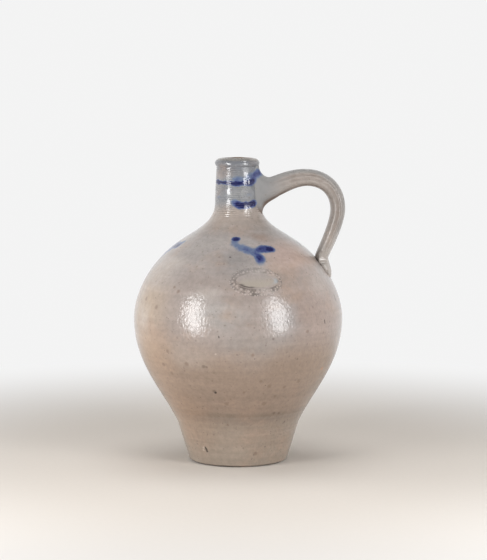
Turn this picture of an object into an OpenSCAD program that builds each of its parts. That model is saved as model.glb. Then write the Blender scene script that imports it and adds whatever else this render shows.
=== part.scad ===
// Salt-glazed stoneware jug with a narrow neck, one pulled handle and an applied oval seal.
// Millimetres, +Z up. The origin is the centre of the flat base and the handle is on +X.

/* [Vessel outline] */
// Diameter of the flat base
base_d = 89; // [80:0.5:98]
// Radius of the worn edge round the base
base_edge_r = 2; // [1:0.1:4]
// Height of the foot, up to the break in its slope
foot_h = 35; // [28:0.5:45]
// Diameter at the top of the foot
foot_d = 108.6; // [100:0.2:118]
// Lean of the wall from upright where it leaves the foot
flare_deg = 26; // [18:0.5:34]
// Rise from the foot to the widest part of the belly
belly_rise = 92; // [82:0.5:104]
// Largest diameter of the belly
belly_d = 186; // [172:1:204]
// Rise from the widest part to the shoulder
shoulder_rise = 68.5; // [58:0.5:78]
// Diameter at the shoulder
shoulder_d = 104; // [94:0.5:116]
// Lean of the shoulder from upright
shoulder_deg = 55.5; // [50:0.5:60]
// Rise from the shoulder to the straight neck
neck_rise = 36; // [30:0.5:42]
// Diameter at the bottom of the straight neck
neck_d = 40; // [38:0.2:46]
// Length of the straight neck, up to the rounded lip
neck_len = 34; // [28:0.5:44]

/* [Fullness of the curves] */
// How far the foot's lean is held into the lower belly
foot_pull = 32.5; // [24:0.5:40]
// How far the upright wall is held below the widest part
under_pull = 39.5; // [30:0.5:46]
// How far the upright wall is held above the widest part
over_pull = 20.5; // [14:0.5:28]
// How far the shoulder's lean is held down towards the belly
shoulder_pull_down = 34; // [26:0.5:40]
// How far the shoulder's lean is held up towards the neck
shoulder_pull_up = 21; // [15:0.5:25]
// How far the upright neck is held down towards the shoulder
neck_pull = 19.5; // [14:0.5:23]

/* [Wall, mouth and rim] */
// Thickness of the thrown wall
wall = 7; // [5:0.1:9]
// Thickness of the bottom
base_t = 9; // [6:0.1:12]
// Radius of the inside corner at the bottom
inner_corner_r = 12; // [8:0.5:16]
// Diameter of the bore through the neck
bore_d = 22; // [18:0.2:25]
// How far each side of the straight neck leans in by its top
neck_taper = 1.6; // [0:0.1:3]
// How far the rolled rim stands out from the neck
rim_stand = 1.4; // [0.6:0.1:3]
// Height of the rolled rim
rim_h = 9; // [7:0.1:11]
// Width of the rounded lip inside the mouth, from its bore to its crest
lip_w = 2.8; // [1.5:0.1:4]
// Height of the rounded lip inside the mouth
lip_h = 4; // [2.5:0.1:6]

/* [Luted seams] */
// Drop of the neck seam below the straight neck
neck_seam_drop = 14.5; // [10:0.5:18]
// Height of the ridge that keys one thrown section into the next
key_h = 2.5; // [1:0.1:4]

/* [Handle] */
// Width of the pulled strap, across the jug
strap_w = 22; // [18:0.5:26]
// Thickness of the strap where it leaves its root
strap_root_t = 18.2; // [15:0.1:20]
// Thickness of the strap over the crown
strap_crown_t = 14.4; // [11:0.1:16]
// Thickness of the strap at its outermost point
strap_side_t = 13.9; // [11:0.1:16]
// Thickness of the strap at its lower end
strap_tail_t = 13; // [10:0.1:15]
// Length of the root, from the neck's wall to the strap
root_len = 13.4; // [11:0.1:17]
// Height of the strap's start above the bottom of the neck
root_rise = 13.1; // [10:0.1:16]
// Slope of the strap where it leaves the root
root_deg = 22.7; // [16:0.1:30]
// How far that slope is held towards the crown
root_pull = 10; // [7:0.5:13]
// Distance of the crown from the jug's axis
crown_x = 60.5; // [55:0.5:68]
// Height of the crown's middle above the bottom of the neck
crown_rise = 20.4; // [17:0.1:25]
// How far the level crown is held back towards the root
crown_pull_back = 10; // [7:0.5:13]
// How far the level crown is held out towards the drop
crown_pull_out = 16.5; // [13:0.5:20]
// Distance of the strap's outermost middle from the jug's axis
side_x = 88.4; // [84:0.1:96]
// Drop of that point below the bottom of the neck
side_drop = 7; // [3:0.5:11]
// How far the upright strap is held up towards the crown
side_pull_up = 16.5; // [13:0.5:20]
// How far the upright strap is held down towards the tail
side_pull_down = 12; // [8:0.5:15]
// Drop of the strap's lower end below the shoulder
tail_drop = 13.9; // [10:0.1:18]
// Distance of the lower end's middle from the body's wall
tail_stand = 5.4; // [4.6:0.1:7]
// Lean of the strap from upright at its lower end
tail_deg = 23.6; // [18:0.1:30]
// How far that lean is held up the strap
tail_pull = 12; // [8:0.5:15]

/* [Handle joints] */
// Height above the bottom of the neck at which the root's upper flare starts
root_top_rise = 31.5; // [28:0.1:33]
// How far the upper flare runs down the neck
root_top_pull = 6.5; // [4:0.1:9]
// How far the upper flare is held along the strap
root_top_lead = 6; // [4:0.1:8]
// Drop below the straight neck at which the lower flare starts
root_low_drop = 14; // [10:0.1:14.4]
// How far the lower flare stands outside the straight neck where it starts
root_low_stand = 1.5; // [0.5:0.1:2]
// How far the lower flare runs up the neck
root_low_pull = 9.5; // [6:0.1:12]
// Slope of the lower flare where it meets the strap
root_low_deg = 37; // [30:1:44]
// How far the lower flare is held along the strap
root_low_lead = 8; // [5:0.1:10]
// Length of the pressed tail, down the body
tail_len = 21; // [16:0.5:26]
// Width of the pressed tail where it runs out
tail_end_w = 11; // [8:0.5:16]
// Lean of the thumb press from upright
press_deg = 15; // [8:0.5:22]
// Length of the thumb press
press_len = 3; // [2:0.1:5]
// How far the tail's bulge stands off the wall
bulge_stand = 1.2; // [0.6:0.1:2]
// Height of the tail's bulge above its end
bulge_rise = 9; // [6:0.1:12]

/* [Applied seal] */
// Turn of the seal from the front towards the handle
seal_turn = 11.5; // [0:0.5:24]
// Drop of the seal's centre below the shoulder
seal_drop = 26.5; // [22:0.5:32]
// Width of the plain oval field
field_w = 37; // [30:0.5:42]
// Height of the plain oval field, along the wall
field_h = 15.6; // [12:0.1:20]
// Width of the beaded border at the two ends of the field
border_side = 5.2; // [4:0.1:7]
// Width of the beaded border above and below the field
border_top = 7.2; // [5:0.1:8]
// Thickness of the border
seal_t = 0.8; // [0.5:0.05:1.2]
// Thickness of the plain field
field_t = 0.3; // [0.2:0.05:0.45]
// Diameter of one bead
bead_d = 1.9; // [1.5:0.1:2.4]
// Number of beads round the border
bead_count = 36; // [28:1:42]

/* [Hidden] */
$fn = 96;
// Straight steps along one curve of the outline, one curve of the strap and one handle joint
outline_steps = 12;
strap_steps = 9;
joint_steps = 9;
// Sides of the strap's round section and of the seal's oval, and bands of a bead's dome
strap_sides = 24;
oval_sides = 60;
dome_steps = 3;
// Depth to which the joints and the seal's cutters are carried into the wall before they are trimmed
sink = 9;
// Gap left where one piece only just clears a face
hair_gap = 0.05;
clay = "#a39382";
cool_clay = "#9c978f";
pale_clay = "#aea390";

foot_z = foot_h;
belly_z = foot_z + belly_rise;
shoulder_z = belly_z + shoulder_rise;
neck_z = shoulder_z + neck_rise;
lip_z = neck_z + neck_len;
jug_h = lip_z + lip_h;
neck_seam_z = neck_z - neck_seam_drop;
rim_mid_z = jug_h - rim_h / 2;

// Plain geometry
function lerp(a, b, t) = a + (b - a) * t;
function lean(deg) = [sin(deg), cos(deg)];
function along(deg) = [cos(deg), sin(deg)];
function oval_point(centre, a, b, deg) = centre + [a * cos(deg), b * sin(deg)];
function oval_arc(centre, a, b, from, to, n, skip = 0) =
    [for (i = [skip:n]) oval_point(centre, a, b, lerp(from, to, i / n))];
function reversed(list) = [for (i = [len(list) - 1:-1:0]) list[i]];
function bezier(c, t) =
    pow(1 - t, 3) * c[0] + 3 * t * pow(1 - t, 2) * c[1] + 3 * t * t * (1 - t) * c[2] + pow(t, 3) * c[3];
function slope(c, t) =
    pow(1 - t, 2) * (c[1] - c[0]) + 2 * t * (1 - t) * (c[2] - c[1]) + t * t * (c[3] - c[2]);
// Points along a curve from one share of it to another, leaving out the first few
function trace(c, from = 0, to = 1, skip = 0) =
    [for (i = [skip:outline_steps]) bezier(c, lerp(from, to, i / outline_steps))];
// Share of a rising curve at which it reaches a height
function share_at(c, z, low = 0, high = 1, halvings = 30) =
    let (mid = (low + high) / 2)
    halvings == 0 ? mid
    : bezier(c, mid)[1] < z ? share_at(c, z, mid, high, halvings - 1)
    : share_at(c, z, low, mid, halvings - 1);

// Curves of the vessel's wall at a depth inside its outer face
function belly_point(depth) = [belly_d / 2 - depth, belly_z];
function foot_point(depth) = [foot_d / 2 - depth, foot_z];
function shoulder_point(depth) = [shoulder_d / 2, shoulder_z] - depth * along(shoulder_deg);
function low_curve(depth) =
    let (a = foot_point(depth), b = belly_point(depth))
    [a, a + foot_pull * lean(flare_deg), b - [0, under_pull], b];
function high_curve(depth) =
    let (a = belly_point(depth), b = shoulder_point(depth))
    [a, a + [0, over_pull], b - shoulder_pull_down * lean(-shoulder_deg), b];
function collar_curve(depth, neck_r) =
    let (a = shoulder_point(depth), b = [neck_r, neck_z])
    [a, a + shoulder_pull_up * lean(-shoulder_deg), b - [0, neck_pull], b];
outer_collar = collar_curve(0, neck_d / 2);
inner_collar = collar_curve(wall, bore_d / 2);
outer_seam = share_at(outer_collar, neck_seam_z);
inner_seam = share_at(inner_collar, neck_seam_z);
function body_r(z) = let (c = high_curve(0)) bezier(c, share_at(c, z))[0];
// How far the upper belly's face turns up from level at a height
function body_tilt(z) = let (c = high_curve(0), d = slope(c, share_at(c, z))) atan2(-d[0], d[1]);

// Middle of a luted seam, raised so that each section keys into the next
function key(outer_point, inner_point) = (outer_point + inner_point) / 2 + [0, key_h];
foot_key = key(foot_point(0), foot_point(wall));
neck_key = key(bezier(outer_collar, outer_seam), bezier(inner_collar, inner_seam));

// Rolled rim outside, from the neck up to its crest, and rounded lip inside, from the crest to the bore
neck_top_r = neck_d / 2 - neck_taper;
crest_r = bore_d / 2 + lip_w;
rim_w = neck_top_r + rim_stand - crest_r;
rim_start = -acos((neck_top_r - crest_r) / rim_w);
rim_outside = oval_arc([crest_r, rim_mid_z], rim_w, rim_h / 2, rim_start, 90, outline_steps);
lip_inside = oval_arc([crest_r, lip_z], lip_w, lip_h, 90, 180, outline_steps / 2, skip = 1);

// Inside of the foot: the wall leans as the outside does and turns into the bottom on an arc
inner_lean = atan((foot_d - base_d) / 2 / foot_h);
inner_base_r = foot_d / 2 - wall - (foot_z - base_t) * tan(inner_lean);
corner_back = inner_corner_r * tan((90 - inner_lean) / 2);
corner_mid = [inner_base_r - corner_back, base_t + inner_corner_r];
foot_inside = concat(
    [foot_point(wall)],
    oval_arc(corner_mid, inner_corner_r, inner_corner_r, -inner_lean, -90, outline_steps),
    [[0, base_t]]
);
base_edge = oval_arc([base_d / 2 - base_edge_r, base_edge_r], base_edge_r, base_edge_r, -90, 0, outline_steps / 2);

// Strap of the handle: three curves in the XZ plane and the thickness at their ends
root_mid = [neck_d / 2 + root_len, neck_z + root_rise];
crown_mid = [crown_x, neck_z + crown_rise];
side_mid = [side_x, neck_z - side_drop];
tail_z = shoulder_z - tail_drop;
tail_mid = [body_r(tail_z) + tail_stand, tail_z];
strap_curves = [
    [root_mid, root_mid + root_pull * along(root_deg), crown_mid - [crown_pull_back, 0], crown_mid],
    [crown_mid, crown_mid + [crown_pull_out, 0], side_mid + [0, side_pull_up], side_mid],
    [side_mid, side_mid - [0, side_pull_down], tail_mid + tail_pull * lean(tail_deg), tail_mid]
];
strap_t = [strap_root_t, strap_crown_t, strap_side_t, strap_tail_t];
function strap_outward(c, t) = let (d = slope(c, t)) [-d[1], d[0]] / norm(d);
// Inner and outer edge of the strap at a share of one of its curves
function strap_edges(part, t) =
    let (c = strap_curves[part],
         half = lerp(strap_t[part], strap_t[part + 1], t) / 2 * strap_outward(c, t))
    [bezier(c, t) - half, bezier(c, t) + half];
root_edges = strap_edges(0, 0);
tail_edges = strap_edges(2, 1);

// Round section between an inner and an outer edge point, as wide as asked across the jug
function section(edges, width) =
    let (mid = (edges[0] + edges[1]) / 2, half = (edges[1] - edges[0]) / 2)
    [for (i = [0:strap_sides - 1])
        let (deg = 360 * i / strap_sides, p = mid + half * cos(deg))
        [p[0], width / 2 * sin(deg), p[1]]];

strap_sections = [
    for (part = [0:2])
        for (i = [(part == 0 ? 0 : 1):strap_steps])
            section(strap_edges(part, i / strap_steps), strap_w)
];

// Root: flares from the strap's first section on to the neck, and on into it to be trimmed there
root_top_start = [neck_top_r, neck_z + root_top_rise];
root_low_start = [neck_d / 2 + root_low_stand, neck_z - root_low_drop];
root_top_curve = [
    root_top_start,
    root_top_start - [0, root_top_pull],
    root_edges[1] - root_top_lead * along(root_deg),
    root_edges[1]
];
root_low_curve = [
    root_low_start,
    root_low_start + [0, root_low_pull],
    root_edges[0] - root_low_lead * along(root_low_deg),
    root_edges[0]
];
root_sections = concat(
    [section([root_low_start - [sink, 0], root_top_start - [sink, 0]], strap_w)],
    [for (i = [0:joint_steps])
        section([bezier(root_low_curve, i / joint_steps), bezier(root_top_curve, i / joint_steps)], strap_w)]
);

// Tail: the strap's end pressed on to the body, run out to nothing just under the wall's face
tail_end_z = tail_z - tail_len;
tail_end = [body_r(tail_end_z), tail_end_z];
tail_outer_curve = [
    tail_edges[1],
    tail_edges[1] - press_len * lean(press_deg),
    tail_end + [bulge_stand, bulge_rise],
    tail_end - [hair_gap, 0]
];
tail_inner_end = tail_end - [wall / 2, 0];
tail_sections = [
    for (i = [0:joint_steps])
        let (t = i / joint_steps)
        section([lerp(tail_edges[0], tail_inner_end, t), bezier(tail_outer_curve, t)],
                lerp(strap_w, tail_end_w, t * t))
];

// Seal: its place on the wall and the oval that carries the beads
seal_z = shoulder_z - seal_drop;
seal_r = body_r(seal_z);
seal_tilt = body_tilt(seal_z);
seal_w = field_w + 2 * border_side;
seal_h = field_h + 2 * border_top;
function on_oval(width, height, deg) = oval_point([0, 0], width / 2, height / 2, deg);
function on_bead_oval(deg) = on_oval(field_w + border_side, field_h + border_top, deg);
// Length run along the bead oval against the angle reached, for an even spacing
bead_runs = [
    for (i = 0, run = 0; i <= oval_sides;
         run = run + norm(on_bead_oval((i + 1) * 360 / oval_sides) - on_bead_oval(i * 360 / oval_sides)),
         i = i + 1)
        [run, i * 360 / oval_sides]
];
bead_pitch = bead_runs[oval_sides][0] / bead_count;
bead_dome = oval_arc([0, seal_t], bead_d / 2, bead_d / 2, 0, 90, dome_steps);

// Closed solid through sections that all have the same number of points
module loft(sections) {
    n = len(sections[0]);
    last = len(sections) - 1;
    sides = [
        for (s = [0:last - 1])
            for (i = [0:n - 1])
                let (j = (i + 1) % n, a = s * n, b = a + n)
                each [[a + i, b + j, b + i], [a + i, a + j, b + j]]
    ];
    start_cap = [[for (i = [n - 1:-1:0]) i]];
    end_cap = [[for (i = [0:n - 1]) last * n + i]];
    polyhedron([for (ring = sections) each ring], concat(sides, start_cap, end_cap));
}

// Everything inside the vessel's outer face
module vessel_envelope() {
    rotate_extrude()
        polygon(concat(
            [[0, 0]],
            base_edge,
            trace(low_curve(0)),
            trace(high_curve(0), skip = 1),
            trace(outer_collar, skip = 1),
            rim_outside,
            [[0, jug_h]]
        ));
}

// Straight prism through the wall at the seal, with its axis square to the wall
module seal_prism(width, height) {
    rotate([0, 0, seal_turn])
        translate([0, -seal_r, seal_z])
            rotate([90 - seal_tilt, 0, 0])
                translate([0, 0, -sink])
                    linear_extrude(2 * sink)
                        polygon([for (i = [0:oval_sides - 1]) on_oval(width, height, 360 * i / oval_sides)]);
}

// Skin of the upper belly between two heights above the wall's face
module belly_skin(from, to) {
    rotate_extrude()
        polygon(concat(trace(high_curve(-to)), reversed(trace(high_curve(-from)))));
}

// One bead, seated on the wall at a place across and up from the middle of the seal
module bead(place) {
    z = seal_z + place[1] * cos(seal_tilt);
    turn = seal_turn + place[0] / seal_r * 180 / PI;
    seat = [body_r(z), z] + seal_t / 2 * along(body_tilt(z));
    rotate([0, 0, turn])
        translate([0, -seat[0], seat[1]])
            rotate([90 - body_tilt(z), 0, 0])
                rotate_extrude($fn = strap_sides)
                    polygon(concat([[0, 0], [bead_d / 2, 0]], bead_dome));
}

// Bottom and foot, thrown as one low dish
module foot_section() {
    color(clay)
        rotate_extrude()
            polygon(concat([[0, 0]], base_edge, [foot_point(0), foot_key], foot_inside));
}

// Belly and shoulder, from the foot's seam to the neck's
module belly_section() {
    color(clay)
        rotate_extrude()
            polygon(concat(
                trace(low_curve(0)),
                trace(high_curve(0), skip = 1),
                trace(outer_collar, to = outer_seam, skip = 1),
                [neck_key],
                reversed(trace(inner_collar, to = inner_seam, skip = 1)),
                reversed(trace(high_curve(wall), skip = 1)),
                reversed(trace(low_curve(wall))),
                [foot_key]
            ));
}

// Neck with its bore and rolled rim
module neck_collar() {
    color(cool_clay)
        rotate_extrude()
            polygon(concat(
                trace(outer_collar, from = outer_seam),
                rim_outside,
                lip_inside,
                reversed(trace(inner_collar, from = inner_seam)),
                [neck_key]
            ));
}

// Pulled strap between its two joints
module handle_strap() {
    color(clay)
        loft(strap_sections);
}

// Flared joint that lutes the strap to the neck
module handle_root() {
    color(cool_clay)
        difference() {
            loft(root_sections);
            vessel_envelope();
        }
}

// Lower end of the strap, pressed on to the body with the thumb
module handle_tail() {
    color(clay)
        difference() {
            loft(tail_sections);
            vessel_envelope();
        }
}

// Oval pad with a beaded border and a plain field
module seal() {
    color(pale_clay)
        union() {
            difference() {
                intersection() {
                    belly_skin(0, seal_t);
                    seal_prism(seal_w, seal_h);
                }
                intersection() {
                    belly_skin(field_t, 2 * seal_t);
                    seal_prism(field_w, field_h);
                }
            }
            for (i = [0:bead_count - 1])
                bead(on_bead_oval(lookup(i * bead_pitch, bead_runs)));
        }
}

foot_section();
belly_section();
neck_collar();
handle_strap();
handle_root();
handle_tail();
seal();
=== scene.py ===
"""Looks of a salt-glazed stoneware jug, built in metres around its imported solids.

The jug stands on z = 0 with its axis on +Z. Its handle is on +X and its front, with the seal, faces -Y.
An azimuth is counted in radians from the front towards the handle.
"""

import logging
import math
from dataclasses import dataclass, field, replace
from enum import Enum
from functools import lru_cache
from typing import ClassVar, Iterator, Optional, Sequence, Union

import bpy
import numpy as np
from mathutils import Matrix, Quaternion, Vector


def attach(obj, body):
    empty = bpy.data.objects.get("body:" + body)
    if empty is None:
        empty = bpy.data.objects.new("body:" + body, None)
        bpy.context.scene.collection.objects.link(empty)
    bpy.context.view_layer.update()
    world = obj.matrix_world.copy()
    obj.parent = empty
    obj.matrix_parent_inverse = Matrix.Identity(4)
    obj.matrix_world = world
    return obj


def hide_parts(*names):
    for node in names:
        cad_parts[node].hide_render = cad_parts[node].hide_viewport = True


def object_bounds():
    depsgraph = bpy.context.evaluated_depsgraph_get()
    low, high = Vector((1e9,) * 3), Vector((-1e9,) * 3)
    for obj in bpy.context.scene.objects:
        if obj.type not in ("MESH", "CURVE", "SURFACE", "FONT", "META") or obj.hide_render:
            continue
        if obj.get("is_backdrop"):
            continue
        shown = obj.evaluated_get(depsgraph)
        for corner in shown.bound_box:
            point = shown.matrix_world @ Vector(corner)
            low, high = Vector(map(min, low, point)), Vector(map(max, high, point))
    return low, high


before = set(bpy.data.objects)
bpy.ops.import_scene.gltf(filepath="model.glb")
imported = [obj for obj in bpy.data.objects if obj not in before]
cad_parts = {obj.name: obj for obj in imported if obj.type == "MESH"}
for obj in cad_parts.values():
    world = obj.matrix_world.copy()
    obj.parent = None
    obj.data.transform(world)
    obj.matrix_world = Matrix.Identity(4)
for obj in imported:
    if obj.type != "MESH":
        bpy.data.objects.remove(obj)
CAD_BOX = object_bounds()

LOG = logging.getLogger("jug")
BODY = "root"
BAKE_MAP = "OFBake"
TINY = 1e-12
LEVEL = np.array([1.0, 0.0])
UP = np.array([0.0, 1.0])

Array = np.ndarray
Material = bpy.types.Material
Piece = bpy.types.Object
Socket = bpy.types.NodeSocket
Tone = tuple[float, float, float]
Pair = tuple[float, float]
Stations = tuple[Array, Array, Array]
Feed = Union[Socket, float, Sequence[float]]


def tone(code: str) -> Tone:
    """Turns a six-digit screen colour into the linear tone that shaders use."""
    channels = (int(code[i : i + 2], 16) / 255 for i in (0, 2, 4))
    return tuple(c / 12.92 if c <= 0.04045 else ((c + 0.055) / 1.055) ** 2.4 for c in channels)


def lean(degrees: float) -> Array:
    """Unit step in a section (r, z) that leans out from upright by an angle."""
    return np.array([math.sin(math.radians(degrees)), math.cos(math.radians(degrees))])


def along(degrees: float) -> Array:
    """Unit step in a section (r, z) that climbs from level by an angle."""
    return np.array([math.cos(math.radians(degrees)), math.sin(math.radians(degrees))])


def bezier(points: Sequence[Array], share: Array) -> Array:
    """Points on a cubic curve.

    Args:
        points: The curve's four control points, each (r, z).
        share: Shares of the curve, from 0 to 1.

    Returns:
        One (r, z) row for each share.
    """
    a, b, c, d = (np.asarray(p, float) for p in points)
    t = np.asarray(share, float)[:, None]
    return a * (1 - t) ** 3 + 3 * b * t * (1 - t) ** 2 + 3 * c * t * t * (1 - t) + d * t**3


def oval_arc(centre: Array, wide: float, high: float, start: float, stop: float, count: int) -> Array:
    """Points (r, z) on an arc of an upright oval, from one angle in degrees to another."""
    angle = np.radians(np.linspace(start, stop, count))
    return np.asarray(centre) + np.stack([wide * np.cos(angle), high * np.sin(angle)], 1)


def run_along(line: Array) -> Array:
    """Distance from a line's start to each of its points, along the line."""
    return np.concatenate([[0.0], np.cumsum(np.linalg.norm(np.diff(line, axis=0), axis=1))])


def outward(line: Array) -> Array:
    """Unit normals on the right of a line of (r, z) points, which is outside where it rises."""
    step = np.gradient(line, axis=0)
    return np.stack([step[:, 1], -step[:, 0]], 1) / np.linalg.norm(step, axis=1, keepdims=True)


def round_axis(reach: Array, azimuth: Array, height: Array) -> Array:
    """Points of the frame at a reach from the axis, an azimuth and a height."""
    return np.stack(np.broadcast_arrays(reach * np.sin(azimuth), -reach * np.cos(azimuth), height), -1)


def full_turn(sides: int) -> Array:
    """Evenly spaced angles once round, as one row."""
    return np.linspace(0, 2 * math.pi, sides, endpoint=False)[None, :]


def reach_at(line: Array, height: float) -> float:
    """Radius at a height on a rising line of (r, z) points."""
    return float(np.interp(height, line[:, 1], line[:, 0]))


def spaced(line: Array, step: float) -> Array:
    """Lays points at an even step along a line, with both of its ends kept.

    Args:
        line: Rows of points.
        step: Wanted distance between neighbours, in metres.

    Returns:
        The new rows of points.
    """
    run = run_along(line)
    count = max(2, int(round(run[-1] / step)) + 1)
    at = np.linspace(0.0, run[-1], count)
    return np.stack([np.interp(at, run, line[:, k]) for k in range(line.shape[1])], 1)


def bump_at(value: Array, middle: float, half: float) -> Array:
    """A soft bump that is 1 at the middle and falls to 1/e a half width away."""
    return np.exp(-(((value - middle) / half) ** 2))


def ease(value: Array, low: float, high: float) -> Array:
    """A smooth rise from 0 at low to 1 at high."""
    t = np.clip((value - low) / (high - low), 0.0, 1.0)
    return t * t * (3 - 2 * t)


def between(value: Array, start: Pair, stop: Pair) -> Array:
    """A smooth rise to 1 over one span, which falls to 0 again over another."""
    return ease(value, *start) * (1 - ease(value, *stop))


def turned_by(azimuth: Array, middle: float) -> Array:
    """Shortest turn from a middle azimuth, in radians."""
    return (azimuth - middle + math.pi) % (2 * math.pi) - math.pi


def lobe_at(angle: Array, middle_deg: float, half: float) -> Array:
    """A soft bump over angles, about a middle in degrees and with a half width in radians."""
    return bump_at(turned_by(angle, math.radians(middle_deg)), 0.0, half)


class Section(Enum):
    """The three thrown sections that are luted into one vessel."""

    FOOT = "foot_section"
    BELLY = "belly_section"
    NECK = "neck_collar"


class Length(Enum):
    """The three lengths of clay in the handle."""

    ROOT = "handle_root"
    STRAP = "handle_strap"
    TAIL = "handle_tail"


class Slot(Enum):
    """The record's material slots."""

    BODY = "salt_glaze_body"
    HANDLE = "salt_glaze_handle"
    SEAL = "seal_clay"


def placed(name: str, data: bpy.types.ID) -> Piece:
    """Adds an object to the scene.

    Args:
        name: Name of the object.
        data: Its mesh, lamp or camera.

    Returns:
        The new object.
    """
    made = bpy.data.objects.new(name, data)
    bpy.context.scene.collection.objects.link(made)
    return made


def cuts(counts: dict[Enum, int]) -> Iterator[tuple[Enum, slice]]:
    """Cuts rows into parts that share a row with the next part.

    Args:
        counts: Number of rows in each part, in order.

    Returns:
        Each part in turn, with its rows.
    """
    start = 0
    for part, count in counts.items():
        yield part, slice(start, start + count)
        start += count - 1


@dataclass
class Skin:
    """Rows of points that are joined into one closed skin.

    Each row has the same number of points and runs once round the piece.
    """

    name: str
    rows: Array
    ring: bool = False
    row_share: Optional[Array] = None
    row_slot: Optional[Array] = None
    normals: Optional[Array] = None
    marks: dict[str, Array] = field(default_factory=dict)

    SHARP_DEG: ClassVar[float] = 55.0
    CAP_SHARE: ClassVar[float] = 0.02
    MARGIN: ClassVar[float] = 0.002

    def build(self) -> Piece:
        """Makes the mesh object, with its map for baking, its normals and its marks.

        Returns:
            The new object, linked to the scene.
        """
        quads = self._quads()
        points = self.rows.reshape(-1, 3)
        faces = quads.reshape(-1, 4).tolist()
        if not self.ring:
            points = np.vstack([points, self.rows[0].mean(0), self.rows[-1].mean(0)])
            faces += self._fans()
        mesh = bpy.data.meshes.new(self.name)
        mesh.from_pydata(points.tolist(), [], faces)
        mesh.polygons.foreach_set("use_smooth", np.ones(len(faces), bool))
        self._lay_map(mesh)
        if self.row_slot is not None:
            caps = [] if self.ring else [self.row_slot[0], self.row_slot[-1]]
            slots = np.repeat([*self.row_slot, *caps], self.rows.shape[1])
            mesh.polygons.foreach_set("material_index", slots)
        for key, values in self.marks.items():
            flat = np.zeros(len(points), np.float32)
            flat[: values.size] = values.reshape(-1)
            mesh.attributes.new(key, "FLOAT", "POINT").data.foreach_set("value", flat)
        mesh.update()
        mesh.set_sharp_from_angle(angle=math.radians(self.SHARP_DEG))
        if self.normals is not None:
            self._set_normals(mesh, quads, len(points))
        return placed(self.name, mesh)

    def _quads(self) -> Array:
        """Corners of the faces between neighbouring rows.

        Returns:
            Point numbers, as rows of faces by sides by four corners.
        """
        count, sides, _ = self.rows.shape
        near = np.arange(count if self.ring else count - 1)[:, None] * sides
        far = (near + sides) % (count * sides)
        side = np.arange(sides)[None, :]
        following = (side + 1) % sides
        return np.stack([near + side, near + following, far + following, far + side], -1)

    def _fans(self) -> list[list[int]]:
        """Triangles that close the first and the last row on their middles.

        Returns:
            Three point numbers for each triangle.
        """
        count, sides, _ = self.rows.shape
        first, top = count * sides, (count - 1) * sides
        low = [[(i + 1) % sides, i, first] for i in range(sides)]
        high = [[top + i, top + (i + 1) % sides, first + 1] for i in range(sides)]
        return low + high

    def _lay_map(self, mesh: bpy.types.Mesh) -> None:
        """Unrolls the skin on to one sheet, each row of faces as high as its share.

        Args:
            mesh: The mesh to map.
        """
        count, sides, _ = self.rows.shape
        face_rows = count if self.ring else count - 1
        share = np.ones(face_rows) if self.row_share is None else self.row_share
        ends = [] if self.ring else [share.sum() * self.CAP_SHARE] * 2
        high = np.concatenate([[0.0], np.cumsum(np.concatenate([share, ends]))])
        high = self.MARGIN + (1 - 2 * self.MARGIN) * high / high[-1]
        side = np.arange(sides) / sides
        across = np.stack([side, side + 1 / sides, side + 1 / sides, side], -1)
        sheet = np.empty((face_rows, sides, 4, 2))
        sheet[..., 0] = across
        sheet[..., :2, 1] = high[:face_rows, None, None]
        sheet[..., 2:, 1] = high[1 : face_rows + 1, None, None]
        parts = [sheet.reshape(-1, 2)]
        for k in range(len(ends)):
            fan = np.empty((sides, 3, 2))
            fan[..., 0] = np.stack([side + 1 / sides, side, side + 0.5 / sides], -1)
            fan[:, :2, 1] = high[face_rows + k]
            fan[:, 2, 1] = high[face_rows + k + 1]
            parts.append(fan.reshape(-1, 2))
        layer = mesh.uv_layers.new(name=BAKE_MAP)
        layer.data.foreach_set("uv", np.vstack(parts).astype(np.float32).ravel())

    def _set_normals(self, mesh: bpy.types.Mesh, quads: Array, count: int) -> None:
        """Shades the rows that run on into another piece as one smooth face.

        Args:
            mesh: The mesh to shade.
            quads: Corners of its four-cornered faces.
            count: Number of points in the mesh.
        """
        rows, sides, _ = self.normals.shape
        table = np.zeros((count, 3))
        table[: rows * sides] = self.normals.reshape(-1, 3)
        told = np.zeros((len(mesh.loops), 3))
        smooth = np.linalg.norm(table[quads], axis=-1).min((1, 2)) > 0.5
        chosen = np.where(smooth[:, None, None, None], table[quads], 0.0)
        told[: chosen.size // 3] = chosen.reshape(-1, 3)
        mesh.normals_split_custom_set(told.tolist())


def grid_normals(rows: Array) -> Array:
    """Outward normals of points that run up row by row and once round in each row.

    Args:
        rows: The points, as rows by sides by three.

    Returns:
        One unit normal for each point.
    """
    padded = np.concatenate([rows[:, -1:], rows, rows[:, :1]], 1)
    normal = np.cross(np.gradient(padded, axis=1)[:, 1:-1], np.gradient(rows, axis=0))
    return normal / np.maximum(np.linalg.norm(normal, axis=-1, keepdims=True), TINY)


def adopt(piece: Piece, slot: Slot, node: str, *finishes: Material) -> Piece:
    """Dresses a piece and lets it stand for its solid and move with it.

    Args:
        piece: The piece.
        slot: Not used.
        node: The solid that it stands for.
        finishes: Its materials, in the order of its mesh's slots.

    Returns:
        The same piece.
    """
    for finish in finishes:
        piece.data.materials.append(finish)
    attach(piece, BODY)
    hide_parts(node)
    return piece


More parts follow.
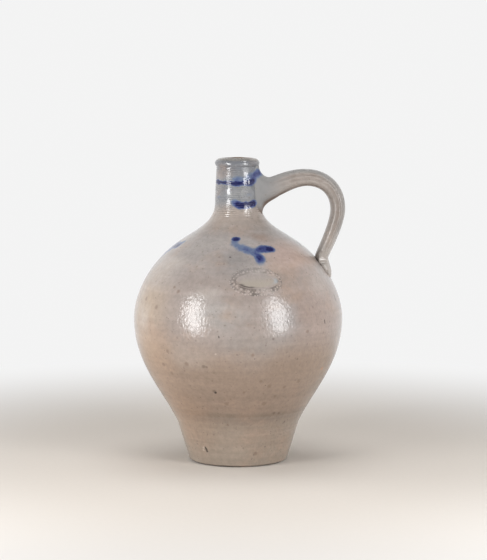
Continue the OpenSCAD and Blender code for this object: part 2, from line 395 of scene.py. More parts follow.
class NodeBoard:
    """Adds and wires the nodes of one tree."""

    LEVELS: ClassVar[tuple[str, ...]] = ("From Min", "From Max", "To Min", "To Max")

    def __init__(self, tree: bpy.types.NodeTree) -> None:
        """Starts with an empty tree, of a material or of the surroundings."""
        self.tree = tree
        self.tree.nodes.clear()

    def feed(self, socket: Socket, value: Feed) -> None:
        """Wires a socket or sets its value.

        Args:
            socket: The socket.
            value: A link or a value.
        """
        if isinstance(value, bpy.types.NodeSocket):
            self.tree.links.new(value, socket)
        else:
            socket.default_value = value

    def fill(self, made: bpy.types.Node, sockets: dict[str, Feed]) -> bpy.types.Node:
        """Feeds the named sockets of a node.

        Args:
            made: The node.
            sockets: Values or links, with spaces in names as underscores.

        Returns:
            The same node.
        """
        for key, value in sockets.items():
            self.feed(made.inputs[key.replace("_", " ")], value)
        return made

    def node(self, kind: str, **sockets: Feed) -> bpy.types.Node:
        """Adds a node of Blender's kind and feeds its named sockets."""
        return self.fill(self.tree.nodes.new(kind), sockets)

    def worked(self, kind: str, operation: str, *values: Feed) -> bpy.types.Node:
        """Adds a node that works out a sum.

        Args:
            kind: Blender's name for the node.
            operation: Blender's name for the sum.
            values: What goes in, in order.

        Returns:
            The new node.
        """
        made = self.node(kind)
        made.operation = operation
        for socket, value in zip(made.inputs, values):
            self.feed(socket, value)
        return made

    def sum(self, operation: str, first: Feed, second: Feed) -> Socket:
        """Works out one number from two."""
        return self.worked("ShaderNodeMath", operation, first, second).outputs[0]

    def times(self, first: Feed, second: Feed) -> Socket:
        """Product of two numbers."""
        return self.sum("MULTIPLY", first, second)

    def graded(self, value: Feed, low: Feed, high: Feed, start: float = 0.0, stop: float = 1.0) -> Socket:
        """A smooth change between two levels of a value.

        Args:
            value: The value that is graded.
            low: Level at which the change starts.
            high: Level at which it ends.
            start: Result below the low level.
            stop: Result above the high level.

        Returns:
            The graded value.
        """
        made = self.node("ShaderNodeMapRange", Value=value)
        made.interpolation_type = "SMOOTHSTEP"
        for key, level in zip(self.LEVELS, (low, high, start, stop)):
            self.feed(made.inputs[key], level)
        return made.outputs["Result"]

    def either(self, share: Feed, under: Feed, over: Feed) -> Socket:
        """Chooses between two numbers.

        Args:
            share: 0 for the first number and 1 for the second.
            under: First number.
            over: Second number.

        Returns:
            The chosen number.
        """
        made = self.node("ShaderNodeMix")
        for index, value in ((0, share), (2, under), (3, over)):
            self.feed(made.inputs[index], value)
        return made.outputs[0]


class Bench(NodeBoard):
    """A board with a shader on it, for one material."""

    COLOUR_INPUTS: ClassVar[tuple[int, int]] = (6, 7)
    COLOUR_OUTPUT: ClassVar[int] = 2

    def __init__(self, name: str) -> None:
        """Starts a material with a shader and an output.

        Args:
            name: Name of the material.
        """
        self.material = bpy.data.materials.new(name)
        self.material.use_nodes = True
        super().__init__(self.material.node_tree)
        self.shader = self.node("ShaderNodeBsdfPrincipled")
        self.output = self.node("ShaderNodeOutputMaterial", Surface=self.shader.outputs["BSDF"])
        self.place = self.node("ShaderNodeTexCoord").outputs["Object"]

    def finish(self, **sockets: Feed) -> None:
        """Feeds the shader's named sockets."""
        self.fill(self.shader, sockets)

    def axis(self, name: str) -> Socket:
        """One axis of the place."""
        return self.node("ShaderNodeSeparateXYZ", Vector=self.place).outputs[name]

    def vector(self, operation: str, first: Feed, second: Feed) -> Socket:
        """Works out one vector from two."""
        return self.worked("ShaderNodeVectorMath", operation, first, second).outputs["Vector"]

    def stretched(self, place: Socket, scale: Sequence[float]) -> Socket:
        """A place with each of its axes scaled."""
        return self.vector("MULTIPLY", place, scale)

    def distance(self, place: Socket, centre: Sequence[float]) -> Socket:
        """Distance of a place from a fixed point."""
        return self.worked("ShaderNodeVectorMath", "DISTANCE", place, centre).outputs["Value"]

    def length(self, place: Socket) -> Socket:
        """Distance of a place from the origin."""
        return self.worked("ShaderNodeVectorMath", "LENGTH", place).outputs["Value"]

    def oval(self, place: Socket, centre: Vector, turn: Matrix, halves: Sequence[float]) -> Socket:
        """Distance from the middle of an oval in space, with 1 at its edge.

        Args:
            place: Where it is read.
            centre: Middle of the oval.
            turn: Turn of its axes.
            halves: Half its size along each axis.

        Returns:
            The distance in shares of the oval's reach.
        """
        made = self.node("ShaderNodeMapping", Vector=place, Location=centre, Scale=halves)
        made.vector_type = "TEXTURE"
        made.inputs["Rotation"].default_value = turn.to_euler("XYZ")
        return self.length(made.outputs["Vector"])

    def wavering(self, size: float, reach: float) -> Socket:
        """The place moved about by noise, so that drawn edges waver.

        Args:
            size: Size of the noise's clouds, in metres.
            reach: Pair of the movement, in metres.

        Returns:
            The moved place.
        """
        cloud = self.node("ShaderNodeTexNoise", Vector=self.place, Scale=1 / size, Detail=3.0)
        drift = self.vector("SUBTRACT", cloud.outputs["Color"], (0.5, 0.5, 0.5))
        return self.vector("ADD", self.place, self.stretched(drift, (reach, reach, reach)))

    def noise(self, place: Socket, size: float, detail: float, rough: float = 0.5) -> Socket:
        """Cloudy noise from 0 to 1, with clouds of a size in metres."""
        made = self.node("ShaderNodeTexNoise", Vector=place, Scale=1 / size, Detail=detail, Roughness=rough)
        return made.outputs["Fac"]

    def cells(self, place: Socket, size: float) -> tuple[Socket, Socket]:
        """Scattered cells.

        Args:
            place: Where they are read.
            size: Distance between cells, in metres.

        Returns:
            The distance from a cell's middle in cell sizes, and a random number for each cell.
        """
        made = self.node("ShaderNodeTexVoronoi", Vector=place, Scale=1 / size)
        split = self.node("ShaderNodeSeparateColor", Color=made.outputs["Color"])
        return made.outputs["Distance"], split.outputs[0]

    def layered(self, share: Feed, under: Feed, over: Feed, blend: str = "MIX") -> Socket:
        """Lays one colour over another.

        Args:
            share: How much of the upper colour shows.
            under: Lower colour, as a link or a tone.
            over: Upper colour, as a link or a tone.
            blend: Blender's name for the way they mix.

        Returns:
            The mixed colour.
        """
        made = self.node("ShaderNodeMix")
        made.data_type = "RGBA"
        made.blend_type = blend
        self.feed(made.inputs[0], share)
        for index, colour in zip(self.COLOUR_INPUTS, (under, over)):
            is_link = isinstance(colour, bpy.types.NodeSocket)
            self.feed(made.inputs[index], colour if is_link else (*colour, 1.0))
        return made.outputs[self.COLOUR_OUTPUT]

    def layers(self, colour: Feed, *coats: tuple[Feed, Feed]) -> Socket:
        """Lays several colours over one, in order.

        Args:
            colour: Lowest colour.
            coats: Share and colour of each layer above it.

        Returns:
            The mixed colour.
        """
        for share, shade in coats:
            colour = self.layered(share, colour, shade)
        return colour

    def shaded(self, colour: Feed, value: Socket, low: float, high: float) -> Socket:
        """Darkens and lightens a colour along a noise.

        Args:
            colour: The colour.
            value: The noise.
            low: Level of the darkest places.
            high: Level of the lightest places.

        Returns:
            The shaded colour.
        """
        level = self.graded(value, 0.25, 0.75, low, high)
        grey = self.node("ShaderNodeCombineColor", Red=level, Green=level, Blue=level)
        return self.layered(1.0, colour, grey.outputs["Color"], "MULTIPLY")

    def mark(self, name: str) -> Socket:
        """A number that the mesh carries at each point.

        Args:
            name: Name of the mark.

        Returns:
            The number.
        """
        made = self.node("ShaderNodeAttribute")
        made.attribute_name = name
        return made.outputs["Fac"]

    def relief(self, height: Socket, depth: float) -> None:
        """Gives the shader a fine relief, with its whole depth in metres."""
        bump = self.node("ShaderNodeBump", Height=height, Distance=depth, Strength=1.0).outputs["Normal"]
        self.finish(Normal=bump, Coat_Normal=bump)


@dataclass(frozen=True)
class VesselOutline:
    """Section through the thrown wall, on the same curves as the solids."""

    base_r: float = 0.0445
    base_edge_r: float = 0.0034
    base_t: float = 0.009
    foot_z: float = 0.035
    foot_r: float = 0.0543
    flare_deg: float = 26.0
    belly_z: float = 0.127
    belly_r: float = 0.093
    shoulder_z: float = 0.1955
    shoulder_r: float = 0.052
    shoulder_deg: float = 55.5
    neck_seam_z: float = 0.217
    neck_z: float = 0.2315
    neck_r: float = 0.020
    neck_taper: float = 0.0016
    rim_stand: float = 0.0014
    rim_h: float = 0.009
    lip_z: float = 0.2655
    lip_w: float = 0.0028
    lip_h: float = 0.004
    bore_r: float = 0.011
    wall: float = 0.007
    key_h: float = 0.0025
    inner_corner_r: float = 0.012
    foot_pull: float = 0.0325
    under_pull: float = 0.0395
    over_pull: float = 0.0205
    shoulder_pull_down: float = 0.034
    shoulder_pull_up: float = 0.021
    neck_pull: float = 0.0195
    neck_lean: float = -0.0007

    CURVE_POINTS: ClassVar[int] = 200
    RIM_POINTS: ClassVar[int] = 40
    CORNER_POINTS: ClassVar[int] = 14
    LIP_POINTS: ClassVar[int] = 12
    EDGE_POINTS: ClassVar[int] = 9
    NEAR: ClassVar[float] = 1e-6

    @property
    def top_z(self) -> float:
        """Height of the rim's crest."""
        return self.lip_z + self.lip_h

    @property
    def neck_top_r(self) -> float:
        """Radius of the straight neck under the rim."""
        return self.neck_r - self.neck_taper

    @property
    def crest(self) -> Array:
        """Crest of the rim in the section."""
        return np.array([self.bore_r + self.lip_w, self.top_z])

    def foot_point(self, depth: float) -> Array:
        """Top of the foot, at a depth inside the outer face."""
        return np.array([self.foot_r - depth, self.foot_z])

    def curves(self, depth: float) -> tuple[list[Array], list[Array], list[Array]]:
        """Curves of the lower belly, the upper belly and the collar.

        Args:
            depth: Depth inside the outer face, either none or the whole wall.

        Returns:
            The control points of each curve, from the foot up.
        """
        foot = self.foot_point(depth)
        belly = np.array([self.belly_r - depth, self.belly_z])
        shoulder = np.array([self.shoulder_r, self.shoulder_z]) - depth * along(self.shoulder_deg)
        neck = np.array([self.bore_r if depth else self.neck_r, self.neck_z])
        slope = lean(-self.shoulder_deg)
        low = [foot, foot + self.foot_pull * lean(self.flare_deg), belly - self.under_pull * UP, belly]
        high = [belly, belly + self.over_pull * UP, shoulder - self.shoulder_pull_down * slope, shoulder]
        collar = [shoulder, shoulder + self.shoulder_pull_up * slope, neck - self.neck_pull * UP, neck]
        return low, high, collar

    @lru_cache(maxsize=None)
    def side(self, depth: float) -> Array:
        """The wall from the foot's top to the bottom of the straight neck, as closely spaced points.

        Args:
            depth: Depth inside the outer face, either none or the whole wall.

        Returns:
            Points (r, z).
        """
        share = np.linspace(0, 1, self.CURVE_POINTS)
        low, high, collar = (bezier(curve, share) for curve in self.curves(depth))
        return np.vstack([low, high[1:], collar[1:]])

    def below(self, line: Array, height: float) -> Array:
        """The part of a rising line below a height, ended at that height."""
        return np.vstack([line[line[:, 1] < height - self.NEAR], [reach_at(line, height), height]])

    def above(self, line: Array, height: float) -> Array:
        """The part of a rising line above a height, started at that height."""
        return np.vstack([[reach_at(line, height), height], line[line[:, 1] > height + self.NEAR]])

    def outer(self, section: Section) -> Array:
        """Outer face of one thrown section, from its lowest point up.

        Args:
            section: The section.

        Returns:
            Points (r, z).
        """
        if section is Section.FOOT:
            bend = self.base_edge_r
            edge = oval_arc([self.base_r - bend, bend], bend, bend, -90, 0, self.EDGE_POINTS)
            return np.vstack([edge, self.foot_point(0)])
        if section is Section.BELLY:
            return self.below(self.side(0), self.neck_seam_z)
        rim_w = self.neck_top_r + self.rim_stand - self.crest[0]
        start = -math.degrees(math.acos((self.neck_top_r - self.crest[0]) / rim_w))
        rim = oval_arc(self.crest - self.rim_h / 2 * UP, rim_w, self.rim_h / 2, start, 90, self.RIM_POINTS)
        return np.vstack([self.above(self.side(0), self.neck_seam_z), rim])

    def inner(self, section: Section) -> Array:
        """Inner face of one thrown section, from its highest point down.

        Args:
            section: The section.

        Returns:
            Points (r, z).
        """
        if section is Section.FOOT:
            slope = math.degrees(math.atan((self.foot_r - self.base_r) / self.foot_z))
            reach = self.foot_r - self.wall - (self.foot_z - self.base_t) * math.tan(math.radians(slope))
            reach -= self.inner_corner_r * math.tan(math.radians(90 - slope) / 2)
            bend = self.inner_corner_r
            corner = oval_arc([reach, self.base_t + bend], bend, bend, -slope, -90, self.CORNER_POINTS)
            return np.vstack([self.foot_point(self.wall), corner])
        if section is Section.BELLY:
            return self.below(self.side(self.wall), self.neck_seam_z)[::-1]
        return np.vstack([self.lip(), self.above(self.side(self.wall), self.neck_seam_z)[::-1]])

    def lip(self) -> Array:
        """Rounded lip inside the mouth, from the rim's crest down to the bore."""
        return oval_arc([self.crest[0], self.lip_z], self.lip_w, self.lip_h, 90, 180, self.LIP_POINTS)

    def key(self, height: float) -> Array:
        """Point of the ridge in the middle of a luted seam at a height."""
        radii = [reach_at(self.side(depth), height) for depth in (0, self.wall)]
        return np.array([sum(radii) / 2, height + self.key_h])

    def radius(self, height: float) -> float:
        """Radius of the outer face.

        Args:
            height: Height above the base.

        Returns:
            The radius at that height.
        """
        if height < self.foot_z:
            share = (height - self.base_edge_r) / (self.foot_z - self.base_edge_r)
            return self.base_r + (self.foot_r - self.base_r) * max(share, 0.0)
        if height > self.neck_z:
            share = (height - self.neck_z) / (self.lip_z - self.neck_z)
            return self.neck_r - self.neck_taper * share
        return reach_at(self.side(0), height)

    def tilt(self, height: float, step: float = 0.0004) -> float:
        """How far the outer face turns up from level at a height, in radians."""
        return math.atan2(self.radius(height - step) - self.radius(height + step), 2 * step)

    def leaned(self, points: Array) -> Array:
        """Lets the neck stand a little off the axis, as it came from the wheel.

        Args:
            points: Points in the frame.

        Returns:
            The moved points.
        """
        moved = points.copy()
        moved[..., 0] += self.neck_lean * ease(points[..., 2], self.shoulder_z, self.lip_z)
        return moved

    def spot(self, azimuth: float, height: float) -> Vector:
        """A point on the outer face, at an azimuth in radians and a height."""
        return Vector(round_axis(self.radius(height), azimuth, height))

    @staticmethod
    def facing(azimuth: float, tilt: float) -> Matrix:
        """Turn of a place on the wall, with its Y axis into the wall and its Z axis up the slope."""
        return Matrix.Rotation(azimuth, 3, "Z") @ Matrix.Rotation(-tilt, 3, "X")


@dataclass(frozen=True)
class Wander:
    """Smooth uneven drift over the wall, the same on every run."""

    seed: int
    turns: int
    rise: float
    waves: int = 11

    def at(self, azimuth: Array, height: Array) -> Array:
        """Reads the drift.

        Args:
            azimuth: Turns from the front, in radians.
            height: Heights, in metres.

        Returns:
            Numbers about 0 with a spread of about 1.
        """
        draw = np.random.default_rng(self.seed)
        total = np.zeros(np.broadcast(azimuth, height).shape)
        for _ in range(self.waves):
            around = int(draw.integers(0, self.turns + 1))
            up = draw.uniform(-1, 1) * 2 * math.pi / self.rise
            total += np.cos(around * azimuth + up * height + draw.uniform(0, 2 * math.pi))
        return total / math.sqrt(self.waves / 2)


@dataclass(frozen=True)
class WheelMarks:
    """Marks that the throwing and a long life left in the wall."""

    outline: VesselOutline
    neck_pitch: float = 0.0017
    neck_depth: float = 0.00026
    neck_span: Pair = (-0.004, 0.010)
    low_pitch: float = 0.0031
    low_depth: float = 0.00006
    low_start: Pair = (0.006, 0.016)
    low_stop: Pair = (0.075, 0.105)
    shoulder_pitch: float = 0.0044
    shoulder_depth: float = 0.00002
    pressure: Wander = Wander(40, 4, 0.007)
    pressure_share: float = 0.55
    climb: Wander = Wander(5, 2, 0.035, 7)
    climb_share: float = 0.9
    sway: Wander = Wander(8, 3, 0.16, 7)
    sway_depth: float = 0.00022
    base_span: Pair = (0.002, 0.010)
    ring_z: float = 0.0484
    ring_depth: float = 0.00016
    ring_half: float = 0.0011
    ring_slant: float = 0.0004
    chip_azimuth: float = math.radians(-35.3)
    chip_z: float = 0.0150
    chip_depth: float = 0.0005
    chip_half: float = 0.0011
    chip_slant: float = 0.35
    curdles: tuple[Pair, ...] = ((31.0, 0.2512), (30.0, 0.2240))
    curdle_depth: float = 0.00010
    curdle_half: float = 0.0050
    drops: Wander = Wander(13, 60, 0.0022, 24)

    def lift(self, azimuth: Array, height: Array) -> Array:
        """How far the outer face stands off its plain outline.

        Args:
            azimuth: Turns from the front, in radians.
            height: Heights, in metres.

        Returns:
            Distances along the outward normal.
        """
        on_neck = ease(height - self.outline.neck_seam_z, *self.neck_span)
        on_low = between(height, self.low_start, self.low_stop)
        above_base = ease(height, *self.base_span)
        uneven = np.clip(1 + self.pressure_share * self.pressure.at(azimuth, height), 0, None)
        lift = above_base * self.sway_depth * self.sway.at(azimuth, height)
        for shown, depth, pitch in (
            (on_neck, self.neck_depth, self.neck_pitch),
            (on_low, self.low_depth, self.low_pitch),
            ((1 - on_neck) * above_base, self.shoulder_depth, self.shoulder_pitch),
        ):
            lift -= shown * depth * uneven * self.groove(azimuth, height, pitch)
        cut = 0.65 + 0.35 * np.cos(2 * azimuth + 0.4)
        slanted = height + self.ring_slant * np.sin(azimuth)
        lift -= self.ring_depth * cut * bump_at(slanted, self.ring_z, self.ring_half)
        return lift + self.curdled(azimuth, height) - self.chip(azimuth, height)

    def groove(self, azimuth: Array, height: Array, pitch: float) -> Array:
        """Depth of a throwing groove that climbs by a pitch in each turn, from 0 to 1."""
        drift = self.climb_share * self.climb.at(azimuth, height)
        return (0.5 + 0.5 * np.cos(2 * math.pi * height / pitch - azimuth + drift)) ** 1.5

    def curdled(self, azimuth: Array, height: Array) -> Array:
        """Fine unevenness where the glaze of the neck drew up into drops.

        Args:
            azimuth: Turns from the front, in radians.
            height: Heights, in metres.

        Returns:
            Distances along the outward normal.
        """
        shown = 0.0
        half = self.curdle_half
        for azimuth_deg, middle in self.curdles:
            across = turned_by(azimuth, math.radians(azimuth_deg)) * self.outline.neck_r
            shown = shown + bump_at(across, 0.0, half) * bump_at(height, middle, half)
        return self.curdle_depth * shown * self.drops.at(azimuth, height)

    def chip(self, azimuth: Array, height: Array) -> Array:
        """Depth of the small flake lost from the foot.

        Args:
            azimuth: Turns from the front, in radians.
            height: Heights, in metres.

        Returns:
            Depths in metres.
        """
        across = turned_by(azimuth, self.chip_azimuth) * self.outline.base_r
        up = height - self.chip_z
        narrow = bump_at(across + self.chip_slant * up, 0.0, self.chip_half)
        return self.chip_depth * narrow * bump_at(up, 0.0, 2.0 * self.chip_half)


@dataclass(frozen=True)
class Dab:
    """One touch of the cobalt brush on the wall."""

    azimuth_deg: float
    height: float
    half_length: float
    half_width: float
    turn_deg: float = 0.0
    load: float = 1.0
    edge: float = 0.35

    def moved(self, azimuth_deg: float, load: float) -> "Dab":
        """The same touch further round the jug, with more or less colour."""
        return replace(self, azimuth_deg=self.azimuth_deg + azimuth_deg, load=self.load * load)


SHOULDER_MOTIF = (
    Dab(-2.3, 0.2014, 0.0050, 0.0038, 0, 1.10),
    Dab(-3.2, 0.1998, 0.0058, 0.0044, 0, 0.36, 0.1),
    Dab(-3.6, 0.1972, 0.0062, 0.0060, 0, 0.30, 0.1),
    Dab(3.6, 0.1946, 0.0094, 0.0084, -30, 0.38, 0.1),
    Dab(11.0, 0.1920, 0.0092, 0.0080, -26, 0.42, 0.1),
    Dab(16.0, 0.1890, 0.0068, 0.0064, -48, 0.44, 0.1),
    Dab(17.6, 0.1862, 0.0066, 0.0064, -20, 0.70, 0.1),
    Dab(16.6, 0.1836, 0.0078, 0.0076, 0, 0.34, 0.0),
    Dab(24.6, 0.1932, 0.0116, 0.0064, 3, 0.82),
    Dab(30.6, 0.1926, 0.0062, 0.0050, 0, 0.70, 0.2),
)
NECK_BANDS = (
    Dab(-62, 0.2486, 0.0094, 0.0025, 0, 1.30),
    Dab(-28, 0.2484, 0.0080, 0.0024, 0, 1.20),
    Dab(-4, 0.2477, 0.0068, 0.0032, -4, 1.15),
    Dab(-1, 0.2518, 0.0085, 0.0046, 0, 0.45, 0.0),
    Dab(15, 0.2484, 0.0056, 0.0026, 4, 0.75),
    Dab(36, 0.2488, 0.0084, 0.0040, 14, 1.10),
    Dab(34, 0.2538, 0.0090, 0.0056, 25, 0.45, 0.0),
    Dab(57, 0.2555, 0.0090, 0.0054, 35, 0.75, 0.1),
    Dab(74, 0.2563, 0.0060, 0.0046, 0, 0.60, 0.1),
    Dab(-8, 0.2308, 0.0056, 0.0048, -25, 0.58, 0.1),
    Dab(4, 0.2290, 0.0060, 0.0044, -18, 0.90),
    Dab(20, 0.2289, 0.0062, 0.0042, 5, 1.10),
    Dab(40, 0.2299, 0.0070, 0.0042, 12, 1.10),
    Dab(30, 0.2378, 0.0070, 0.0030, 0, 0.14, 0.0),
    Dab(-60, 0.2356, 0.0075, 0.0030, 0, 0.20, 0.0),
)
BACK_BANDS = (
    Dab(-80, 0.1908, 0.0095, 0.0052, 82, 0.50, 0.1),
    Dab(-71, 0.1955, 0.0066, 0.0048, 70, 0.42, 0.1),
    Dab(150, 0.2485, 0.0100, 0.0020, 3, 0.9),
    Dab(196, 0.2480, 0.0090, 0.0026, -3, 1.05),
    Dab(238, 0.2487, 0.0080, 0.0016, 0, 0.8),
    Dab(160, 0.2292, 0.0080, 0.0022, 6, 1.0),
    Dab(205, 0.2300, 0.0070, 0.0020, -8, 0.8),
    Dab(262, 0.2288, 0.0080, 0.0020, 4, 0.9),
)
REPEATS = ((-104.0, 0.8), (-212.0, 0.95))


@dataclass(frozen=True)
class CobaltBrush:
    """Cobalt wash that is brushed on before the firing and bleeds a little into the glaze."""

    outline: VesselOutline
    wash: Tone = tone("5E6F8B")
    middle: Tone = tone("384274")
    full: Tone = tone("000A46")
    reach: float = 0.010
    bleed_size: float = 0.0024
    bleed_reach: float = 0.0020

    def touches(self, low: float, high: float) -> list[Dab]:
        """Every touch of the brush that reaches a glaze, on the front, the sides and the back.

        Args:
            low: Lowest height of the glaze.
            high: Greatest height of the glaze.

        Returns:
            The touches.
        """
        repeats = [dab.moved(turn, load) for turn, load in REPEATS for dab in SHOULDER_MOTIF]
        every = [*SHOULDER_MOTIF, *repeats, *NECK_BANDS, *BACK_BANDS]
        return [dab for dab in every if low - self.reach < dab.height < high + self.reach]

    def paint(self, bench: Bench, under: Socket, low: float, high: float) -> Socket:
        """Lays the wash over a glaze.

        Args:
            bench: The material's nodes.
            under: Colour of the glaze.
            low: Lowest height of the glaze.
            high: Greatest height of the glaze.

        Returns:
            The painted colour.
        """
        touches = self.touches(low, high)
        if not touches:
            return under
        place = bench.wavering(self.bleed_size, self.bleed_reach)
        amount = 0.0
        for dab in touches:
            amount = bench.sum("ADD", amount, self.touch(bench, place, dab))
        uneven = bench.noise(bench.place, self.bleed_size, 3.0)
        amount = bench.times(amount, bench.graded(uneven, 0.25, 0.75, 0.78, 1.14))
        return bench.layers(
            under,
            (bench.graded(amount, 0.02, 0.34, 0.0, 0.92), self.wash),
            (bench.graded(amount, 0.22, 0.70), self.middle),
            (bench.graded(amount, 0.62, 1.12), self.full),
        )

    def touch(self, bench: Bench, place: Socket, dab: Dab) -> Socket:
        """Colour that one touch leaves.

        Args:
            bench: The material's nodes.
            place: Where it is read.
            dab: The touch.

        Returns:
            Amount of cobalt, from 0 to the touch's load.
        """
        wall = self.outline
        azimuth = math.radians(dab.azimuth_deg)
        turn = wall.facing(azimuth, wall.tilt(dab.height))
        turn = turn @ Matrix.Rotation(-math.radians(dab.turn_deg), 3, "Y")
        halves = (dab.half_length, self.reach, dab.half_width)
        away = bench.oval(place, wall.spot(azimuth, dab.height), turn, halves)
        return bench.graded(away, dab.edge, 1.0, dab.load, 0.0)


@dataclass(frozen=True)
class Zone:
    """One change of the glaze's tone up the wall."""

    start: float
    stop: float
    shade: Tone


@dataclass(frozen=True)
class Patch:
    """Soft oval place on the wall."""

    azimuth_deg: float
    height: float
    half_width: float
    half_height: float

    MOST_TILT: ClassVar[float] = 0.8

    def shown(self, bench: Bench, place: Socket, outline: VesselOutline, core: float = 0.15) -> Socket:
        """How much the patch shows at each point.

        Args:
            bench: The material's nodes.
            place: Where it is read.
            outline: The wall that it lies on.
            core: Share of its reach that it fills evenly.

        Returns:
            A share from 0 to 1.
        """
        azimuth = math.radians(self.azimuth_deg)
        turn = outline.facing(azimuth, min(self.MOST_TILT, outline.tilt(self.height)))
        halves = (self.half_width, self.half_width, self.half_height)
        away = bench.oval(place, outline.spot(azimuth, self.height), turn, halves)
        return bench.graded(away, core, 1.0, 1.0, 0.0)


@dataclass(frozen=True)
class ToneAndLightPatch(Patch):
    """Soft patch of another tone: most are flashes of the firing, a few are painted reflections and one is
    painted shade.
    """

    shade: Tone
    share: float


@dataclass(frozen=True)
class DullPlace(Patch):
    """Place where the glaze lies thin and loses its polish."""

    rough: float


@dataclass(frozen=True)
class Blemishes:
    """Small marks of one tone, each an azimuth in degrees, a height and a reach in metres."""

    shade: Tone
    share: float
    marks: tuple[tuple[float, float, float], ...]


# Painted contact shadow: the glaze starts dark brown along the base's lowest edge, where the jug meets the
# floor.
CONTACT_SHADOW_TONE = tone("4E423A")
ZONES = (
    # Lifts the glaze out of the painted contact shadow to a tone a little lighter than the zone above,
    # painted light that offsets the shade near the floor.
    Zone(0.0004, 0.0022, tone("988B7E")),
    Zone(0.0120, 0.0260, tone("938578")),
    Zone(0.0385, 0.0450, tone("86786C")),
    # Painted shade: a thin dark line in the groove of the throwing ring above the foot.
    Zone(0.0466, 0.0482, tone("827265")),
    Zone(0.0487, 0.0530, tone("8D7B6D")),
    Zone(0.0850, 0.1400, tone("978C86")),
    Zone(0.1560, 0.1880, tone("9B9490")),
    Zone(0.2000, 0.2180, tone("9C9189")),
    Zone(0.2220, 0.2360, tone("7C7E82")),
    Zone(0.2560, 0.2620, tone("6F7176")),
    Zone(0.2668, 0.2690, tone("88847F")),
)
# Tone patches. Painted reflection: the warm patches low on the left (-66, -58 and -56 degrees) and at 50
# degrees stand for a wooden table's warm reflection, and the pale patch at the left edge (-82 degrees) and
# the light warm one on the right shoulder (48 degrees) for the white walls' reflection. Painted shade: the
# grey patch at the top of the shoulder (-4 degrees), where little light comes from the front. The rest vary
# the glaze's tone.
TONE_AND_LIGHT_PATCHES = (
    ToneAndLightPatch(-66, 0.140, 0.055, 0.050, tone("A5917B"), 0.75),
    ToneAndLightPatch(-58, 0.104, 0.046, 0.036, tone("A58D78"), 0.70),
    ToneAndLightPatch(-56, 0.050, 0.050, 0.060, tone("A0846D"), 0.55),
    ToneAndLightPatch(-60, 0.174, 0.036, 0.026, tone("ABA199"), 0.60),
    ToneAndLightPatch(-4, 0.184, 0.030, 0.024, tone("807B79"), 0.66),
    ToneAndLightPatch(48, 0.188, 0.046, 0.030, tone("B0998F"), 0.75),
    ToneAndLightPatch(29, 0.203, 0.016, 0.010, tone("8F7B70"), 0.70),
    ToneAndLightPatch(50, 0.140, 0.052, 0.046, tone("938076"), 0.60),
    ToneAndLightPatch(6, 0.115, 0.044, 0.020, tone("8A8480"), 0.55),
    ToneAndLightPatch(25, 0.136, 0.024, 0.028, tone("8C8B8C"), 0.50),
    ToneAndLightPatch(-10, 0.141, 0.036, 0.024, tone("A09D9A"), 0.60),
    ToneAndLightPatch(-28, 0.102, 0.030, 0.016, tone("A3968C"), 0.50),
    ToneAndLightPatch(-20, 0.157, 0.020, 0.011, tone("AAA39E"), 0.55),
    ToneAndLightPatch(-82, 0.142, 0.034, 0.038, tone("B0A7A4"), 0.35),
    ToneAndLightPatch(-62, 0.131, 0.014, 0.020, tone("B3A9A0"), 0.55),
    ToneAndLightPatch(57, 0.160, 0.015, 0.016, tone("B3ABA4"), 0.24),
    ToneAndLightPatch(2, 0.2395, 0.011, 0.007, tone("8C8C8C"), 0.60),
    ToneAndLightPatch(120, 0.120, 0.070, 0.060, tone("AE8C6D"), 0.60),
    ToneAndLightPatch(200, 0.160, 0.070, 0.050, tone("87827E"), 0.60),
    ToneAndLightPatch(-130, 0.100, 0.060, 0.060, tone("9F8773"), 0.60),
)
# Dark spots; the four near -35 degrees low on the foot darken the chip there.
DARK_SPOTS = (
    (-6, 0.1873, 0.0013), (-10, 0.1226, 0.0010), (-10, 0.1216, 0.0010), (-14.6, 0.0713, 0.0016),
    (54, 0.1316, 0.0013), (54.2, 0.1302, 0.0013), (54.4, 0.1290, 0.0011), (-36.2, 0.0170, 0.0014),
    (-35.7, 0.0158, 0.0017), (-35.2, 0.0147, 0.0017), (-34.8, 0.0135, 0.0014), (140, 0.1420, 0.0013),
    (171, 0.0960, 0.0016), (206, 0.1250, 0.0012), (-120, 0.1540, 0.0014), (-150, 0.0840, 0.0015),
)
FAINT_SPOTS = (
    (73, 0.1497, 0.0026), (73, 0.1468, 0.0028), (30, 0.0501, 0.0021), (35, 0.0495, 0.0020),
    (46, 0.0401, 0.0018), (-15.6, 0.0726, 0.0022), (-17.8, 0.0951, 0.0018), (19, 0.1199, 0.0014),
    (35, 0.1005, 0.0013), (-19.4, 0.0955, 0.0024),
)
RUST_SPOTS = (
    (-42, 0.1063, 0.0024), (-30, 0.0967, 0.0030), (-48, 0.0936, 0.0028), (-43, 0.0865, 0.0026),
    (-51, 0.1434, 0.0029), (-37, 0.1581, 0.0025), (-41, 0.1613, 0.0021), (-64, 0.1485, 0.0029),
    (40, 0.1241, 0.0024), (8, 0.1062, 0.0022), (-8, 0.0608, 0.0030), (19, 0.0602, 0.0032),
    (-9, 0.0401, 0.0018), (19, 0.0125, 0.0026), (20, 0.0771, 0.0030), (14, 0.0822, 0.0022),
    (31, 0.0752, 0.0024), (41, 0.0791, 0.0030), (26, 0.0668, 0.0021), (4, 0.0718, 0.0019),
    (110, 0.0900, 0.0030), (158, 0.1120, 0.0026), (190, 0.0720, 0.0030), (232, 0.1330, 0.0028),
    (-108, 0.1080, 0.0030), (-140, 0.1390, 0.0026),
)
PALE_SPOTS = (
    (-12, 0.1067, 0.0012), (-38.4, 0.0166, 0.0016), (-39.2, 0.0145, 0.0016), (166, 0.1480, 0.0014),
)
RED_SPOTS = ((61, 0.0873, 0.0024), (-122, 0.1220, 0.0024))
